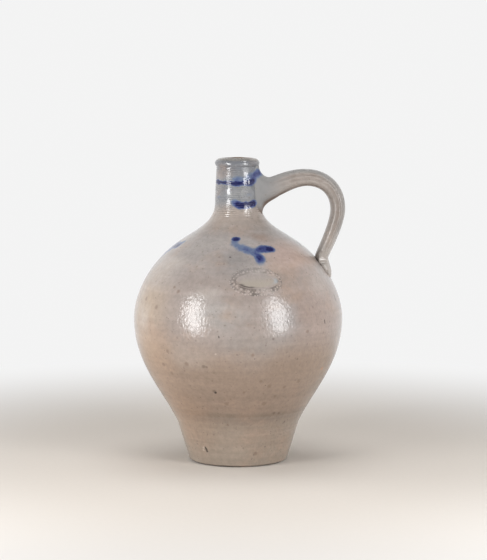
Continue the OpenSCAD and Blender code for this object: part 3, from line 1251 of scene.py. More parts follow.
BLEMISHES = (
    Blemishes(tone("7A6658"), 0.62, RUST_SPOTS),
    Blemishes(tone("54473F"), 0.50, FAINT_SPOTS),
    Blemishes(tone("332925"), 0.90, DARK_SPOTS),
    Blemishes(tone("B07A55"), 0.60, RED_SPOTS),
    Blemishes(tone("D0C2B6"), 0.36, PALE_SPOTS),
)
DULL_PLACES = (
    DullPlace(-27, 0.2366, 0.0060, 0.0022, 0.36),
    DullPlace(26, 0.2366, 0.0085, 0.0108, 0.60),
    DullPlace(26, 0.2608, 0.0070, 0.0048, 0.42),
)


@dataclass(frozen=True)
class Speckle:
    """Dots of one tone, scattered through the glaze and growing with a chance above their rarity."""

    spacing: float
    rarity: float
    reach: float
    shade: Tone
    share: float


SPECKLES = (
    Speckle(0.0050, -0.4, 0.24, tone("6B5A50"), 0.42),
    Speckle(0.0042, 0.1, 0.17, tone("6B5A50"), 0.60),
    Speckle(0.0080, 0.2, 0.085, tone("3A302B"), 0.85),
)


@dataclass(frozen=True)
class SaltGlaze:
    """Thin glassy skin of a salt firing, grey where it is thick and tan where it is thin."""

    name: str
    outline: VesselOutline
    low: float
    high: float
    # Colour below the lowest zone; on the vessel this is the painted contact shadow at the base's edge.
    foot: Tone = CONTACT_SHADOW_TONE
    zones: tuple[Zone, ...] = ZONES
    tone_and_light_patches: tuple[ToneAndLightPatch, ...] = TONE_AND_LIGHT_PATCHES
    speckles: tuple[Speckle, ...] = SPECKLES
    blemishes: tuple[Blemishes, ...] = BLEMISHES
    dull: tuple[DullPlace, ...] = DULL_PLACES
    blush: Tone = tone("A38A78")
    rough: Pair = (0.09, 0.14)
    gloss: float = 0.4
    gloss_rough: float = 0.32
    peel: float = 0.00025
    shine: float = 0.5

    DRIFT_SIZE: ClassVar[float] = 0.060
    CLOUD_SIZE: ClassVar[float] = 0.045
    BAND_SIZE: ClassVar[float] = 0.030
    GRAIN_SIZE: ClassVar[float] = 0.0042
    POLISH_SIZE: ClassVar[float] = 0.011
    PEBBLE_SIZE: ClassVar[float] = 0.0021
    SWELL_SIZE: ClassVar[float] = 0.0017
    TINT_WAVER: ClassVar[Pair] = (0.022, 0.020)
    DULL_WAVER: ClassVar[Pair] = (0.004, 0.003)
    DOT_WAVER: ClassVar[Pair] = (0.0017, 0.0016)
    MARK_WAVER: ClassVar[Pair] = (0.0020, 0.0016)
    TINT_SPILL: ClassVar[float] = 0.012

    def material(self, brush: CobaltBrush) -> Material:
        """Builds the material.

        Args:
            brush: The cobalt that is painted under it.

        Returns:
            The material.
        """
        bench = Bench(self.name)
        colour = self.blemished(bench, self.specked(bench, self.ground(bench)))
        bench.finish(
            Base_Color=brush.paint(bench, colour, self.low, self.high),
            Roughness=self.polish(bench),
            Specular_IOR_Level=self.shine,
            Coat_Weight=self.gloss,
            Coat_Roughness=self.gloss_rough,
        )
        self.orange_peel(bench)
        return bench.material

    def covers(self, height: float, reach: float) -> bool:
        """Whether something of this reach, at this height, lies on the glaze."""
        return self.low - reach < height < self.high + reach

    def ground(self, bench: Bench) -> Socket:
        """Tones of the glaze from the foot to the neck, with the painted contact shadow at the base, its tone
        patches, some of them painted reflection and shade, and its blushes.

        Args:
            bench: The material's nodes.

        Returns:
            The colour.
        """
        drift = bench.noise(bench.place, self.DRIFT_SIZE, 3.0)
        height = bench.axis("Z")
        # Starts from the painted contact shadow at the base's edge.
        colour = self.foot
        for zone in self.zones:
            slack = 0.25 * (zone.stop - zone.start)
            level = bench.sum("ADD", height, bench.graded(drift, 0.2, 0.8, -slack, slack))
            colour = bench.layered(bench.graded(level, zone.start, zone.stop), colour, zone.shade)
        place = bench.wavering(*self.TINT_WAVER)
        # Tone patches, some of them painted reflection and painted shade.
        for tinted in self.tone_and_light_patches:
            if self.covers(tinted.height, tinted.half_height + self.TINT_SPILL):
                share = bench.times(tinted.shown(bench, place, self.outline), tinted.share)
                colour = bench.layered(share, colour, tinted.shade)
        clouds = bench.noise(bench.stretched(bench.place, (1.0, 1.0, 1.4)), self.CLOUD_SIZE, 4.0, 0.6)
        colour = bench.layered(bench.graded(clouds, 0.48, 0.74, 0.0, 0.45), colour, self.blush)
        bands = bench.noise(bench.stretched(bench.place, (0.25, 0.25, 6.0)), self.BAND_SIZE, 3.0)
        colour = bench.shaded(colour, bands, 0.93, 1.06)
        grain = bench.noise(bench.place, self.GRAIN_SIZE, 4.0, 0.65)
        return bench.shaded(colour, grain, 0.90, 1.09)

    def polish(self, bench: Bench) -> Socket:
        """Roughness of the glaze, glassy but for its dull places.

        Args:
            bench: The material's nodes.

        Returns:
            The roughness.
        """
        matt = bench.graded(bench.noise(bench.place, self.POLISH_SIZE, 3.0), 0.3, 0.7, *self.rough)
        place = bench.wavering(*self.DULL_WAVER)
        for dull in self.dull:
            if self.covers(dull.height, dull.half_height):
                thin = bench.times(dull.shown(bench, place, self.outline, 0.6), dull.rough)
                matt = bench.sum("MAXIMUM", matt, thin)
        return matt

    def specked(self, bench: Bench, under: Socket) -> Socket:
        """Brown pores and a few dark iron specks.

        Args:
            bench: The material's nodes.
            under: Colour of the glaze.

        Returns:
            The specked colour.
        """
        place = bench.wavering(*self.DOT_WAVER)
        for kind in self.speckles:
            away, chance = bench.cells(place, kind.spacing)
            reach = bench.graded(chance, kind.rarity, 1.0, 0.0, kind.reach)
            share = bench.graded(away, bench.times(reach, 0.35), reach, kind.share, 0.0)
            share = bench.times(share, bench.graded(chance, kind.rarity, kind.rarity + 0.02))
            under = bench.layered(share, under, kind.shade)
        return under

    def blemished(self, bench: Bench, under: Socket) -> Socket:
        """Single marks that the firing and long use left.

        Args:
            bench: The material's nodes.
            under: Colour of the glaze.

        Returns:
            The marked colour.
        """
        place = bench.wavering(*self.MARK_WAVER)
        for kind in self.blemishes:
            nearest = 1.0
            for azimuth_deg, height, reach in kind.marks:
                if self.covers(height, reach):
                    away = bench.distance(place, self.outline.spot(math.radians(azimuth_deg), height))
                    nearest = bench.sum("MINIMUM", nearest, bench.sum("DIVIDE", away, reach))
            under = bench.layered(bench.graded(nearest, 0.3, 1.0, kind.share, 0.0), under, kind.shade)
        return under

    def orange_peel(self, bench: Bench) -> None:
        """Pebbled relief of the salt glaze.

        Args:
            bench: The material's nodes.
        """
        pebbles, _ = bench.cells(bench.place, self.PEBBLE_SIZE)
        swell = bench.noise(bench.stretched(bench.place, (1.0, 1.0, 0.5)), self.SWELL_SIZE, 2.0)
        bench.relief(bench.sum("ADD", bench.times(pebbles, -0.25), swell), self.peel)


@dataclass(frozen=True)
class NeckGlaze(SaltGlaze):
    """Salt glaze of the neck, which ran thicker and smoother there."""

    rough: Pair = (0.12, 0.18)
    peel: float = 0.00009
    shine: float = 0.8
    gloss: float = 0.15


@dataclass(frozen=True)
class HandleGlaze(SaltGlaze):
    """Salt glaze of the handle: grey by the neck, warm further out, and brown on its inner face, partly its
    own tone and partly painted shade under the arch and in the flutes.
    """

    zones: tuple[Zone, ...] = ()
    tone_and_light_patches: tuple[ToneAndLightPatch, ...] = ()
    blemishes: tuple[Blemishes, ...] = ()
    dull: tuple[DullPlace, ...] = ()
    foot: Tone = tone("978F89")
    by_neck: Tone = tone("7B7C7D")
    # Brown of the inner face, partly its own tone and partly painted shade under the arch; also laid in the
    # flutes as painted shade.
    brown_and_shade: Tone = tone("604C3E")
    # Painted shade, dark brown, for the creases where the tail meets the wall and under the root's joint with
    # the neck.
    crease_shade: Tone = tone("3B2C23")
    edge_grey: Tone = tone("949290")
    # Painted shade on the outer side of the handle's falling arm, which gets less light than the rest.
    outer_drop_shade: Tone = tone("766E68")
    by_tail: Tone = tone("A8A19B")
    rough: Pair = (0.21, 0.31)
    peel: float = 0.00004
    root_rough: float = 0.62
    root_rough_reach: Pair = (0.034, 0.058)
    by_neck_reach: Pair = (0.020, 0.052)
    edge_reach: Pair = (0.066, 0.084)
    brown_reach: Pair = (0.066, 0.080)
    outer_drop_shade_reach: Pair = (0.076, 0.090)
    outer_drop_shade_z: Pair = (0.196, 0.212)
    by_tail_z: Pair = (0.190, 0.208)
    lip_polish: float = 0.18
    gloss: float = 0.3
    gloss_rough: float = 0.45

    STREAK_SIZE: ClassVar[float] = 0.006

    def polish(self, bench: Bench) -> Socket:
        """Roughness of the handle, which is dull where its root was smoothed on.

        Args:
            bench: The material's nodes.

        Returns:
            The roughness.
        """
        glassy = bench.sum("SUBTRACT", super().polish(bench), bench.times(bench.mark("lip"), self.lip_polish))
        root = bench.graded(bench.axis("X"), *self.root_rough_reach, self.root_rough, 0.0)
        return bench.sum("MAXIMUM", glassy, root)

    def ground(self, bench: Bench) -> Socket:
        """Tones of the handle from the root to the tail.

        Args:
            bench: The material's nodes.

        Returns:
            The colour.
        """
        reach, height, inner = bench.axis("X"), bench.axis("Z"), bench.mark("underside")
        streaks = bench.noise(bench.place, self.STREAK_SIZE, 3.0, 0.6)
        edge = bench.graded(reach, *self.edge_reach, 0.24, 0.52)
        under = bench.times(bench.graded(inner, 0.80, 0.95), bench.graded(streaks, 0.25, 0.7, 0.6, 1.0))
        # Painted shade on the outer side of the falling arm, above the tail.
        outer_drop_darkening = bench.graded(reach, *self.outer_drop_shade_reach, 0.0, 0.55)
        return bench.layers(
            super().ground(bench),
            (bench.graded(reach, *self.by_neck_reach, 0.85, 0.0), self.by_neck),
            (bench.graded(inner, bench.times(edge, 0.3), edge, 0.8, 0.0), self.edge_grey),
            # Brown on the inner face: its own tone, deepened as painted shade under the arch.
            (bench.times(under, bench.graded(reach, *self.brown_reach, 1.0, 0.45)), self.brown_and_shade),
            (bench.times(outer_drop_darkening, bench.graded(height, *self.outer_drop_shade_z)), self.outer_drop_shade),
            (bench.graded(height, *self.by_tail_z, 0.75, 0.0), self.by_tail),
            # Painted shade in the flutes.
            (bench.times(bench.mark("hollow"), bench.graded(streaks, 0.2, 0.7, 0.10, 0.40)), self.brown_and_shade),
            # Painted shade in the creases at the tail and under the root.
            (bench.mark("crease"), self.crease_shade),
        )


@dataclass(frozen=True)
class BareClay:
    """Unglazed stoneware of the worn base."""

    name: str = "bare_clay"
    clay: Tone = tone("B3A08C")
    dust: Tone = tone("8D7B6A")
    grit: Tone = tone("5E5148")
    scuff_size: float = 0.012
    grit_size: float = 0.0032
    sand_size: float = 0.0011
    sand_depth: float = 0.00016

    def material(self) -> Material:
        """Builds the material, with grit, grey scuffs and a sandy relief.

        Returns:
            The material.
        """
        bench = Bench(self.name)
        scuff = bench.noise(bench.place, self.scuff_size, 4.0, 0.6)
        away, chance = bench.cells(bench.place, self.grit_size)
        reach = bench.graded(chance, 0.4, 1.0, 0.0, 0.22)
        colour = bench.layers(
            self.clay,
            (bench.graded(scuff, 0.4, 0.7, 0.0, 0.7), self.dust),
            (bench.graded(away, 0.05, reach, 0.8, 0.0), self.grit),
        )
        sand = bench.noise(bench.place, self.sand_size, 4.0, 0.65)
        bench.finish(Base_Color=colour, Roughness=bench.graded(sand, 0.3, 0.7, 0.72, 0.9))
        bench.relief(sand, self.sand_depth)
        return bench.material


@dataclass(frozen=True)
class InsideSlip:
    """Brown slip that lines the jug."""

    name: str = "inside_slip"
    slip: Tone = tone("604A39")
    thin: Tone = tone("8A7563")
    run_size: float = 0.009
    ripple_size: float = 0.0022
    ripple_depth: float = 0.00008

    def material(self) -> Material:
        """Builds the material, with runs down the wall and a soft gloss.

        Returns:
            The material.
        """
        bench = Bench(self.name)
        runs = bench.noise(bench.stretched(bench.place, (1.0, 1.0, 0.25)), self.run_size, 4.0, 0.6)
        colour = bench.layered(bench.graded(runs, 0.35, 0.7), self.slip, self.thin)
        bench.finish(Base_Color=colour, Roughness=bench.graded(runs, 0.3, 0.7, 0.3, 0.5))
        bench.relief(bench.noise(bench.place, self.ripple_size, 3.0), self.ripple_depth)
        return bench.material


@dataclass
class ThrownBody:
    """The vessel: foot, belly and neck, thrown apart and luted into one wall."""

    outline: VesselOutline
    marks: WheelMarks
    sides: int = 256
    foot_step: float = 0.00042
    belly_step: float = 0.00066
    neck_step: float = 0.00024
    inside_step: float = 0.006
    lip_step: float = 0.0006
    base_step: float = 0.0016
    base_hollow: float = 0.0007
    wire_pitch: float = 0.0042
    wire_depth: float = 0.00012
    hidden_share: float = 0.16

    NAMES: ClassVar[dict[Section, str]] = {
        Section.FOOT: "thrown_foot",
        Section.BELLY: "thrown_belly",
        Section.NECK: "thrown_neck",
    }
    GLAZED: ClassVar[int] = 0
    LINED: ClassVar[int] = 1
    BARE: ClassVar[int] = 2

    def build(self, glazes: dict[Section, Material], inside: Material, base: Material) -> list[Piece]:
        """Makes the three sections and dresses them.

        Args:
            glazes: Finish of each section's outer face.
            inside: Finish of the inner face.
            base: Finish of the face that the jug stands on.

        Returns:
            The three pieces.
        """
        steps = {Section.FOOT: self.foot_step, Section.BELLY: self.belly_step, Section.NECK: self.neck_step}
        lines = {part: spaced(self.outline.outer(part), steps[part]) for part in Section}
        whole = np.vstack([lines[Section.FOOT], lines[Section.BELLY][1:], lines[Section.NECK][1:]])
        face = self.outer_face(whole)
        normals = grid_normals(face)
        pieces = []
        for part, cut in cuts({part: len(line) for part, line in lines.items()}):
            piece = self.section(part, face[cut], normals[cut])
            pieces.append(adopt(piece, Slot.BODY, part.value, glazes[part], inside, base))
        return pieces

    def turned(self, line: Array) -> Array:
        """Turns a line of (r, z) points round the axis, into rows of points in the frame."""
        return self.outline.leaned(round_axis(line[:, :1], full_turn(self.sides), line[:, 1:]))

    def outer_face(self, line: Array) -> Array:
        """Turns the outer line round the axis and works the wheel's marks into it.

        Args:
            line: Outer points from the base's edge to the rim's crest.

        Returns:
            Rows of points in the frame.
        """
        out = outward(line)
        azimuth, height = full_turn(self.sides), line[:, 1:]
        lift = self.marks.lift(azimuth, height)
        reach = line[:, :1] + lift * out[:, :1]
        return self.outline.leaned(round_axis(reach, azimuth, height + lift * out[:, 1:]))

    def section(self, part: Section, face: Array, normals: Array) -> Piece:
        """Closes one section with its seams and its inner face.

        Args:
            part: The section.
            face: Rows of its outer face.
            normals: Normals of those rows.

        Returns:
            The piece.
        """
        shape = self.outline
        low, high = shape.key(shape.foot_z), shape.key(shape.neck_seam_z)
        inner = spaced(shape.inner(part), self.inside_step)
        sole = face[:0]
        if part is Section.FOOT:
            sole = self.sole()
            line = np.vstack([low, inner])
        elif part is Section.BELLY:
            line = np.vstack([high, inner, low])
        else:
            lip = spaced(shape.lip(), self.lip_step)
            line = np.vstack([lip[1:], inner[inner[:, 1] < lip[-1, 1] - self.lip_step], high])
        grid = np.concatenate([sole, face, self.turned(line)])
        start, stop = len(sole), len(sole) + len(face)
        told = np.zeros_like(grid)
        told[start:stop] = normals
        ring = part is not Section.FOOT
        face_rows = len(grid) if ring else len(grid) - 1
        index = np.arange(face_rows)
        outside = (index >= start - 1) & (index < stop - 1)
        slot = np.where(outside, self.GLAZED, np.where(index < start, self.BARE, self.LINED))
        run = np.linalg.norm(np.roll(grid, -1, 0)[:face_rows] - grid[:face_rows], axis=-1).max(1)
        share = np.where(outside, run, run * self.hidden_share)
        return Skin(self.NAMES[part], grid, ring, share, slot, told).build()

    def sole(self) -> Array:
        """Underside, a little hollow, with the arcs that the cutting wire left.

        Returns:
            Rows of points from the middle out, up to the base's edge.
        """
        edge = self.outline.base_r - self.outline.base_edge_r
        reach = np.arange(self.base_step, edge, self.base_step)[:, None]
        sole = round_axis(reach, full_turn(self.sides), 0.0)
        swing = np.hypot(sole[..., 0] + 0.9 * edge, sole[..., 1] + 1.1 * edge)
        hollow = self.base_hollow * (1 - ease(reach, 0.5 * edge, 0.93 * edge))
        arcs = self.wire_depth * (0.5 + 0.5 * np.cos(2 * math.pi * swing / self.wire_pitch))
        sole[..., 2] = hollow + arcs * ease(edge - reach, 0.002, 0.008)
        return sole


@dataclass(frozen=True)
class HandleOutline:
    """Side view of the pulled handle, on the same curves as the solids."""

    root_mid: Pair = (0.0334, 0.2446)
    crown_mid: Pair = (0.0605, 0.2522)
    side_mid: Pair = (0.0884, 0.2245)
    root_deg: float = 22.7
    root_pull: float = 0.010
    crown_pull_back: float = 0.010
    crown_pull_out: float = 0.0165
    side_pull_up: float = 0.0165
    side_pull_down: float = 0.012
    tail_z: float = 0.1840
    tail_stand: float = 0.00895
    tail_deg: float = 23.6
    tail_pull: float = 0.010
    thickness: tuple[float, float, float, float] = (0.0182, 0.0150, 0.0132, 0.0116)
    width: float = 0.022
    root_top_rise: float = 0.0315
    root_top_pull: float = 0.0065
    root_top_lead: float = 0.006
    root_low_drop: float = 0.0115
    root_low_stand: float = 0.0015
    root_low_pull: float = 0.0095
    root_low_deg: float = 37.0
    root_low_lead: float = 0.008
    root_bend: float = 0.010
    root_sink: float = 0.0004
    root_sunk_count: int = 10
    tail_len: float = 0.0214
    tail_end_w: float = 0.0125
    tail_plunge: float = 0.016
    tail_rise: float = 0.006
    press_deg: float = 15.0
    press_len: float = 0.003
    bulge_stand: float = 0.0026
    bulge_rise: float = 0.0075
    tail_end_sink: float = 0.0002
    root_sunk_share: float = 0.75

    def strap(self, shape: VesselOutline, count: int) -> Stations:
        """Stations of the strap, from the root to the tail.

        Args:
            shape: The vessel that it stands on.
            count: Stations along each of its three curves.

        Returns:
            Inner edge points, outer edge points and widths.
        """
        root, crown, side = (np.array(p) for p in (self.root_mid, self.crown_mid, self.side_mid))
        tail = np.array([shape.radius(self.tail_z) + self.tail_stand, self.tail_z])
        curves = (
            [root, root + self.root_pull * along(self.root_deg), crown - self.crown_pull_back * LEVEL, crown],
            [crown, crown + self.crown_pull_out * LEVEL, side + self.side_pull_up * UP, side],
            [side, side - self.side_pull_down * UP, tail + self.tail_pull * lean(self.tail_deg), tail],
        )
        share = np.linspace(0, 1, count)
        middles, halves = [], []
        for k, curve in enumerate(curves):
            keep = slice(0 if k == 0 else 1, None)
            middles.append(bezier(curve, share)[keep])
            halves.append((self.thickness[k] + (self.thickness[k + 1] - self.thickness[k]) * share)[keep] / 2)
        middle = np.vstack(middles)
        half = np.concatenate(halves)[:, None] * outward(middle)
        return middle + half, middle - half, np.full(len(middle), self.width)

    def root(self, shape: VesselOutline, low_end: Array, top_end: Array, count: int) -> Stations:
        """Stations of the flared root, from inside the neck's wall to the strap.

        Args:
            shape: The vessel that it stands on.
            low_end: Inner edge of the strap's first station.
            top_end: Outer edge of the strap's first station.
            count: Number of stations outside the wall.

        Returns:
            Lower edge points, upper edge points and widths.
        """
        top = np.array([shape.neck_top_r, shape.neck_z + self.root_top_rise])
        low = np.array([shape.neck_r + self.root_low_stand, shape.neck_z - self.root_low_drop])
        share = np.linspace(0, 1, count)
        lows = bezier([low, low + self.root_low_pull * UP,
                       low_end - self.root_low_lead * along(self.root_low_deg), low_end], share)
        tops = bezier([top, top - self.root_top_pull * UP,
                       top_end - self.root_top_lead * along(self.root_deg), top_end], share)
        deepest = shape.wall * self.root_sunk_share * LEVEL
        buried = np.linspace(1, 0, self.root_sunk_count, endpoint=False)[:, None] * deepest
        return (np.vstack([low - buried, lows]), np.vstack([top - buried, tops]),
                np.full(count + self.root_sunk_count, self.width))

    def tail(self, shape: VesselOutline, low_end: Array, top_end: Array, count: int) -> Stations:
        """Stations of the pressed tail, from the strap until it runs out on the wall.

        Args:
            shape: The vessel that it stands on.
            low_end: Inner edge of the strap's last station.
            top_end: Outer edge of the strap's last station.
            count: Number of stations.

        Returns:
            Inner edge points, outer edge points and widths.
        """
        end_z = self.tail_z - self.tail_len
        end = np.array([shape.radius(end_z), end_z])
        share = np.linspace(0, 1, count)
        bulge = end + np.array([self.bulge_stand, self.bulge_rise])
        tops = bezier([top_end, top_end - self.press_len * lean(self.press_deg), bulge,
                       end - self.tail_end_sink * LEVEL], share)
        inside = end - shape.wall / 2 * LEVEL
        lows = bezier([low_end, low_end - self.tail_plunge * lean(self.tail_deg),
                       inside + self.tail_rise * UP, inside], share)
        return lows, tops, self.width + (self.tail_end_w - self.width) * share**3


@dataclass
class PulledHandle:
    """Strap handle: a flared root on the neck, the pulled strap and the thumbed tail."""

    outline: HandleOutline
    vessel: VesselOutline
    sides: int = 96
    root_count: int = 30
    strap_count: int = 44
    tail_count: int = 48
    flutes: tuple[tuple[float, float, float], ...] = ((0.38, 0.00075, 0.10), (-0.04, 0.00060, 0.20))
    squareness: float = 0.93
    sway: float = 0.00012
    flute_start: Pair = (0.7, 1.5)
    flute_stop: Pair = (-0.22, 0.0)
    press_depth: float = 0.0010
    press_start: Pair = (-0.13, 0.0)
    press_stop: Pair = (0.05, 0.20)
    press_half: float = 0.7
    lip_start: Pair = (0.03, 0.08)
    lip_stop: Pair = (0.22, 0.36)
    lip_inner: Pair = (-0.75, -0.35)
    lip_outer: Pair = (0.55, 0.85)
    lip_across: float = 0.2
    lip_down: float = 0.14
    lip_stand: float = 0.0102
    lip_slant: float = 0.357
    lip_rise: float = 0.125
    lip_crown: float = 270.0
    crease_reach: Pair = (0.0002, 0.0011)
    crease_start: Pair = (-0.2, -0.1)
    crease_stop: Pair = (0.30, 0.52)
    pull: Wander = Wander(21, 3, 40.0)

    NAMES: ClassVar[dict[Length, str]] = {
        Length.ROOT: "luted_root",
        Length.STRAP: "pulled_strap",
        Length.TAIL: "pressed_tail",
    }
    LEAST: ClassVar[float] = 1e-8

    def build(self, glaze: Material) -> list[Piece]:
        """Makes the three lengths and dresses them.

        Args:
            glaze: Finish of the handle.

        Returns:
            The three pieces.
        """
        strap = self.outline.strap(self.vessel, self.strap_count)
        root = self.outline.root(self.vessel, strap[0][0], strap[1][0], self.root_count)
        tail = self.outline.tail(self.vessel, strap[0][-1], strap[1][-1], self.tail_count)
        counts = {Length.ROOT: len(root[0]), Length.STRAP: len(strap[0]), Length.TAIL: len(tail[0])}
        lows, tops, widths = (np.concatenate([a, b[1:], c[1:]]) for a, b, c in zip(root, strap, tail))
        grid, marks = self.sections(lows, tops, widths, counts)
        normals = grid_normals(grid)
        pieces = []
        for part, cut in cuts(counts):
            own = {key: values[cut] for key, values in marks.items()}
            piece = Skin(self.NAMES[part], grid[cut], normals=normals[cut], marks=own).build()
            pieces.append(adopt(piece, Slot.HANDLE, part.value, glaze))
        return pieces

    def walls(self, heights: Array) -> Array:
        """Radius of the vessel's wall at each of many heights."""
        return np.vectorize(self.vessel.radius)(heights)

    def rounded(self, circle: Array) -> Array:
        """Squares off the sines or cosines of a circle a little."""
        return np.sign(circle) * np.abs(circle) ** self.squareness

    def smoothed(self, side: Array, half: Array) -> Array:
        """Runs the root's flanks into the neck in a hollow curve, as a wet finger leaves them.

        Args:
            side: Points (x, z) in the side view.
            half: How far each point stands off the middle of the handle.

        Returns:
            The new distances.
        """
        bend = self.outline.root_bend
        wall = self.walls(side[..., 1]) - self.outline.root_sink
        middle = np.sqrt(np.clip((wall + bend) ** 2 - (half + bend) ** 2, self.LEAST, None))
        leaves = middle * wall / (wall + bend)
        inward = np.clip(middle - side[..., 0], 0.0, middle - leaves)
        curved = half + bend - np.sqrt(bend**2 - inward**2)
        on_wall = np.sqrt(np.clip(wall**2 - side[..., 0] ** 2, self.LEAST, None))
        return np.where(side[..., 0] < leaves, np.minimum(curved, on_wall), curved)

    def sections(self, lows: Array, tops: Array, widths: Array,
                 counts: dict[Length, int]) -> tuple[Array, dict[str, Array]]:
        """Sections of the handle across all its stations.

        Args:
            lows: Inner edge points in the side view.
            tops: Outer edge points in the side view.
            widths: Widths across the jug.
            counts: Number of stations in each length.

        Returns:
            Rows of points in the frame, and the marks that the finish reads.
        """
        angle = full_turn(self.sides)
        across, sideways = self.rounded(np.cos(angle)), self.rounded(np.sin(angle))
        station = np.arange(len(lows))[:, None]
        along_tail = (station - len(lows) + counts[Length.TAIL]) / (counts[Length.TAIL] - 1)
        fluted = ease(station / counts[Length.ROOT], *self.flute_start)
        fluted = fluted * (1 - ease(along_tail, *self.flute_stop))
        pinch = sum(depth * bump_at(across, middle, half) for middle, depth, half in self.flutes)
        half_width = widths[:, None] / 2 - fluted * pinch * np.abs(sideways)
        half_width = half_width + self.sway * self.pull.at(angle, station.astype(float))
        press = between(along_tail, self.press_start, self.press_stop) * bump_at(across, 0.0, self.press_half)
        half_width = half_width - self.press_depth * press
        middle, half = (tops + lows) / 2, (tops - lows) / 2
        side = middle[:, None, :] + half[:, None, :] * across[..., None]
        off_middle = (across - self.lip_across) * np.linalg.norm(half, axis=1)[:, None]
        lip = self.lip_share(across, sideways, along_tail)
        y = -half_width * sideways * (1 - lip) - self.lip_reach(off_middle, along_tail) * lip
        root = slice(0, counts[Length.ROOT])
        y[root] = np.sign(y[root]) * self.smoothed(side[root], np.abs(y[root]))
        grid = np.stack([side[..., 0], y, side[..., 1]], -1)
        inner = np.broadcast_to(0.5 - 0.5 * across, grid.shape[:2])
        hollow = fluted * np.clip(pinch / max(depth for _, depth, _ in self.flutes), 0, 1)
        marks = {
            "underside": inner.copy(),
            "hollow": hollow * np.ones_like(inner),
            "crease": self.creased(grid, inner, along_tail),
            "lip": lip,
        }
        return grid, marks

    def lip_share(self, across: Array, sideways: Array, along_tail: Array) -> Array:
        """Where the thumb raised a lip on the front of the tail, as shares from 0 to 1."""
        lip = between(along_tail, self.lip_start, self.lip_stop)
        return lip * between(across, self.lip_inner, self.lip_outer) * (sideways > 0)

    def lip_reach(self, off_middle: Array, along_tail: Array) -> Array:
        """How far the thumbed lip stands off the middle of the handle.

        Args:
            off_middle: Distance from the middle of the lip across the strap.
            along_tail: Place along the tail, from 0 to 1.

        Returns:
            Distances in metres.
        """
        downward = (along_tail - self.lip_down) * self.outline.tail_len
        bowed = (self.lip_rise - self.lip_crown * downward) * downward
        return self.lip_stand - self.lip_slant * off_middle + bowed

    def creased(self, grid: Array, inner: Array, along_tail: Array) -> Array:
        """Painted shade in the creases where the tail meets the wall and under the root where it meets the
        neck.

        Args:
            grid: Rows of points in the frame.
            inner: Place across the strap, from 0 at its outer face to 1 at its inner face.
            along_tail: Place along the tail, from 0 to 1.

        Returns:
            Shares of the crease, from 0 to 1.
        """
        stand = np.hypot(grid[..., 0], grid[..., 1]) - self.walls(grid[..., 2])
        by_wall = 1 - ease(np.abs(stand), *self.crease_reach)
        by_wall = by_wall * between(along_tail, self.crease_start, self.crease_stop)
        station = np.arange(len(grid))[:, None]
        # Painted shade on the root's underside, just outside the neck's wall.
        under_root_joint = bump_at(station, self.outline.root_sunk_count + 2, 4) * ease(inner, 0.90, 0.98)
        return np.maximum(by_wall, 0.7 * under_root_joint)


@dataclass(frozen=True)
class SealClay(SaltGlaze):
    """Glazed clay of the seal: yellow-grey in the field, pale on the beads, with a painted highlight on the
    ridge below the field and painted shade between the beads and in the groove round the field.
    """

    low: float = 0.150
    high: float = 0.180
    yellow: Tone = tone("989084")
    # Pale on the beads, and a painted highlight on the ridge below the field.
    pale_and_highlight: Tone = tone("ACA29B")
    ashy: Tone = tone("96999B")
    # Painted shade, dark grey-brown, in the gaps between the beads and in the groove round the field.
    dirt: Tone = tone("4C443E")
    blemishes: tuple[Blemishes, ...] = ()
    dull: tuple[DullPlace, ...] = ()
    rough: Pair = (0.42, 0.58)
    gloss: float = 0.3
    gloss_rough: float = 0.45

    PATCH_SIZE: ClassVar[float] = 0.0052

    def ground(self, bench: Bench) -> Socket:
        """Tones of the seal over the glaze that surrounds it.

        Args:
            bench: The material's nodes.

        Returns:
            The colour.
        """
        patchy = bench.noise(bench.place, self.PATCH_SIZE, 3.0, 0.6)
        patchy_gap_shade = bench.times(bench.mark("dirt"), bench.graded(patchy, 0.36, 0.60, 0.15, 1.0))
        return bench.layers(
            super().ground(bench),
            (bench.mark("field"), self.yellow),
            (bench.mark("hollow"), self.ashy),
            (bench.mark("bead"), self.pale_and_highlight),
            # Painted shade between the beads and in the groove.
            (bench.sum("MAXIMUM", patchy_gap_shade, bench.mark("groove")), self.dirt),
        )


@dataclass(frozen=True)
class BeadRow:
    """One row of beads: its share of the border's width, its beads, their size and their seed."""

    share: float
    count: int
    size: float
    seed: int


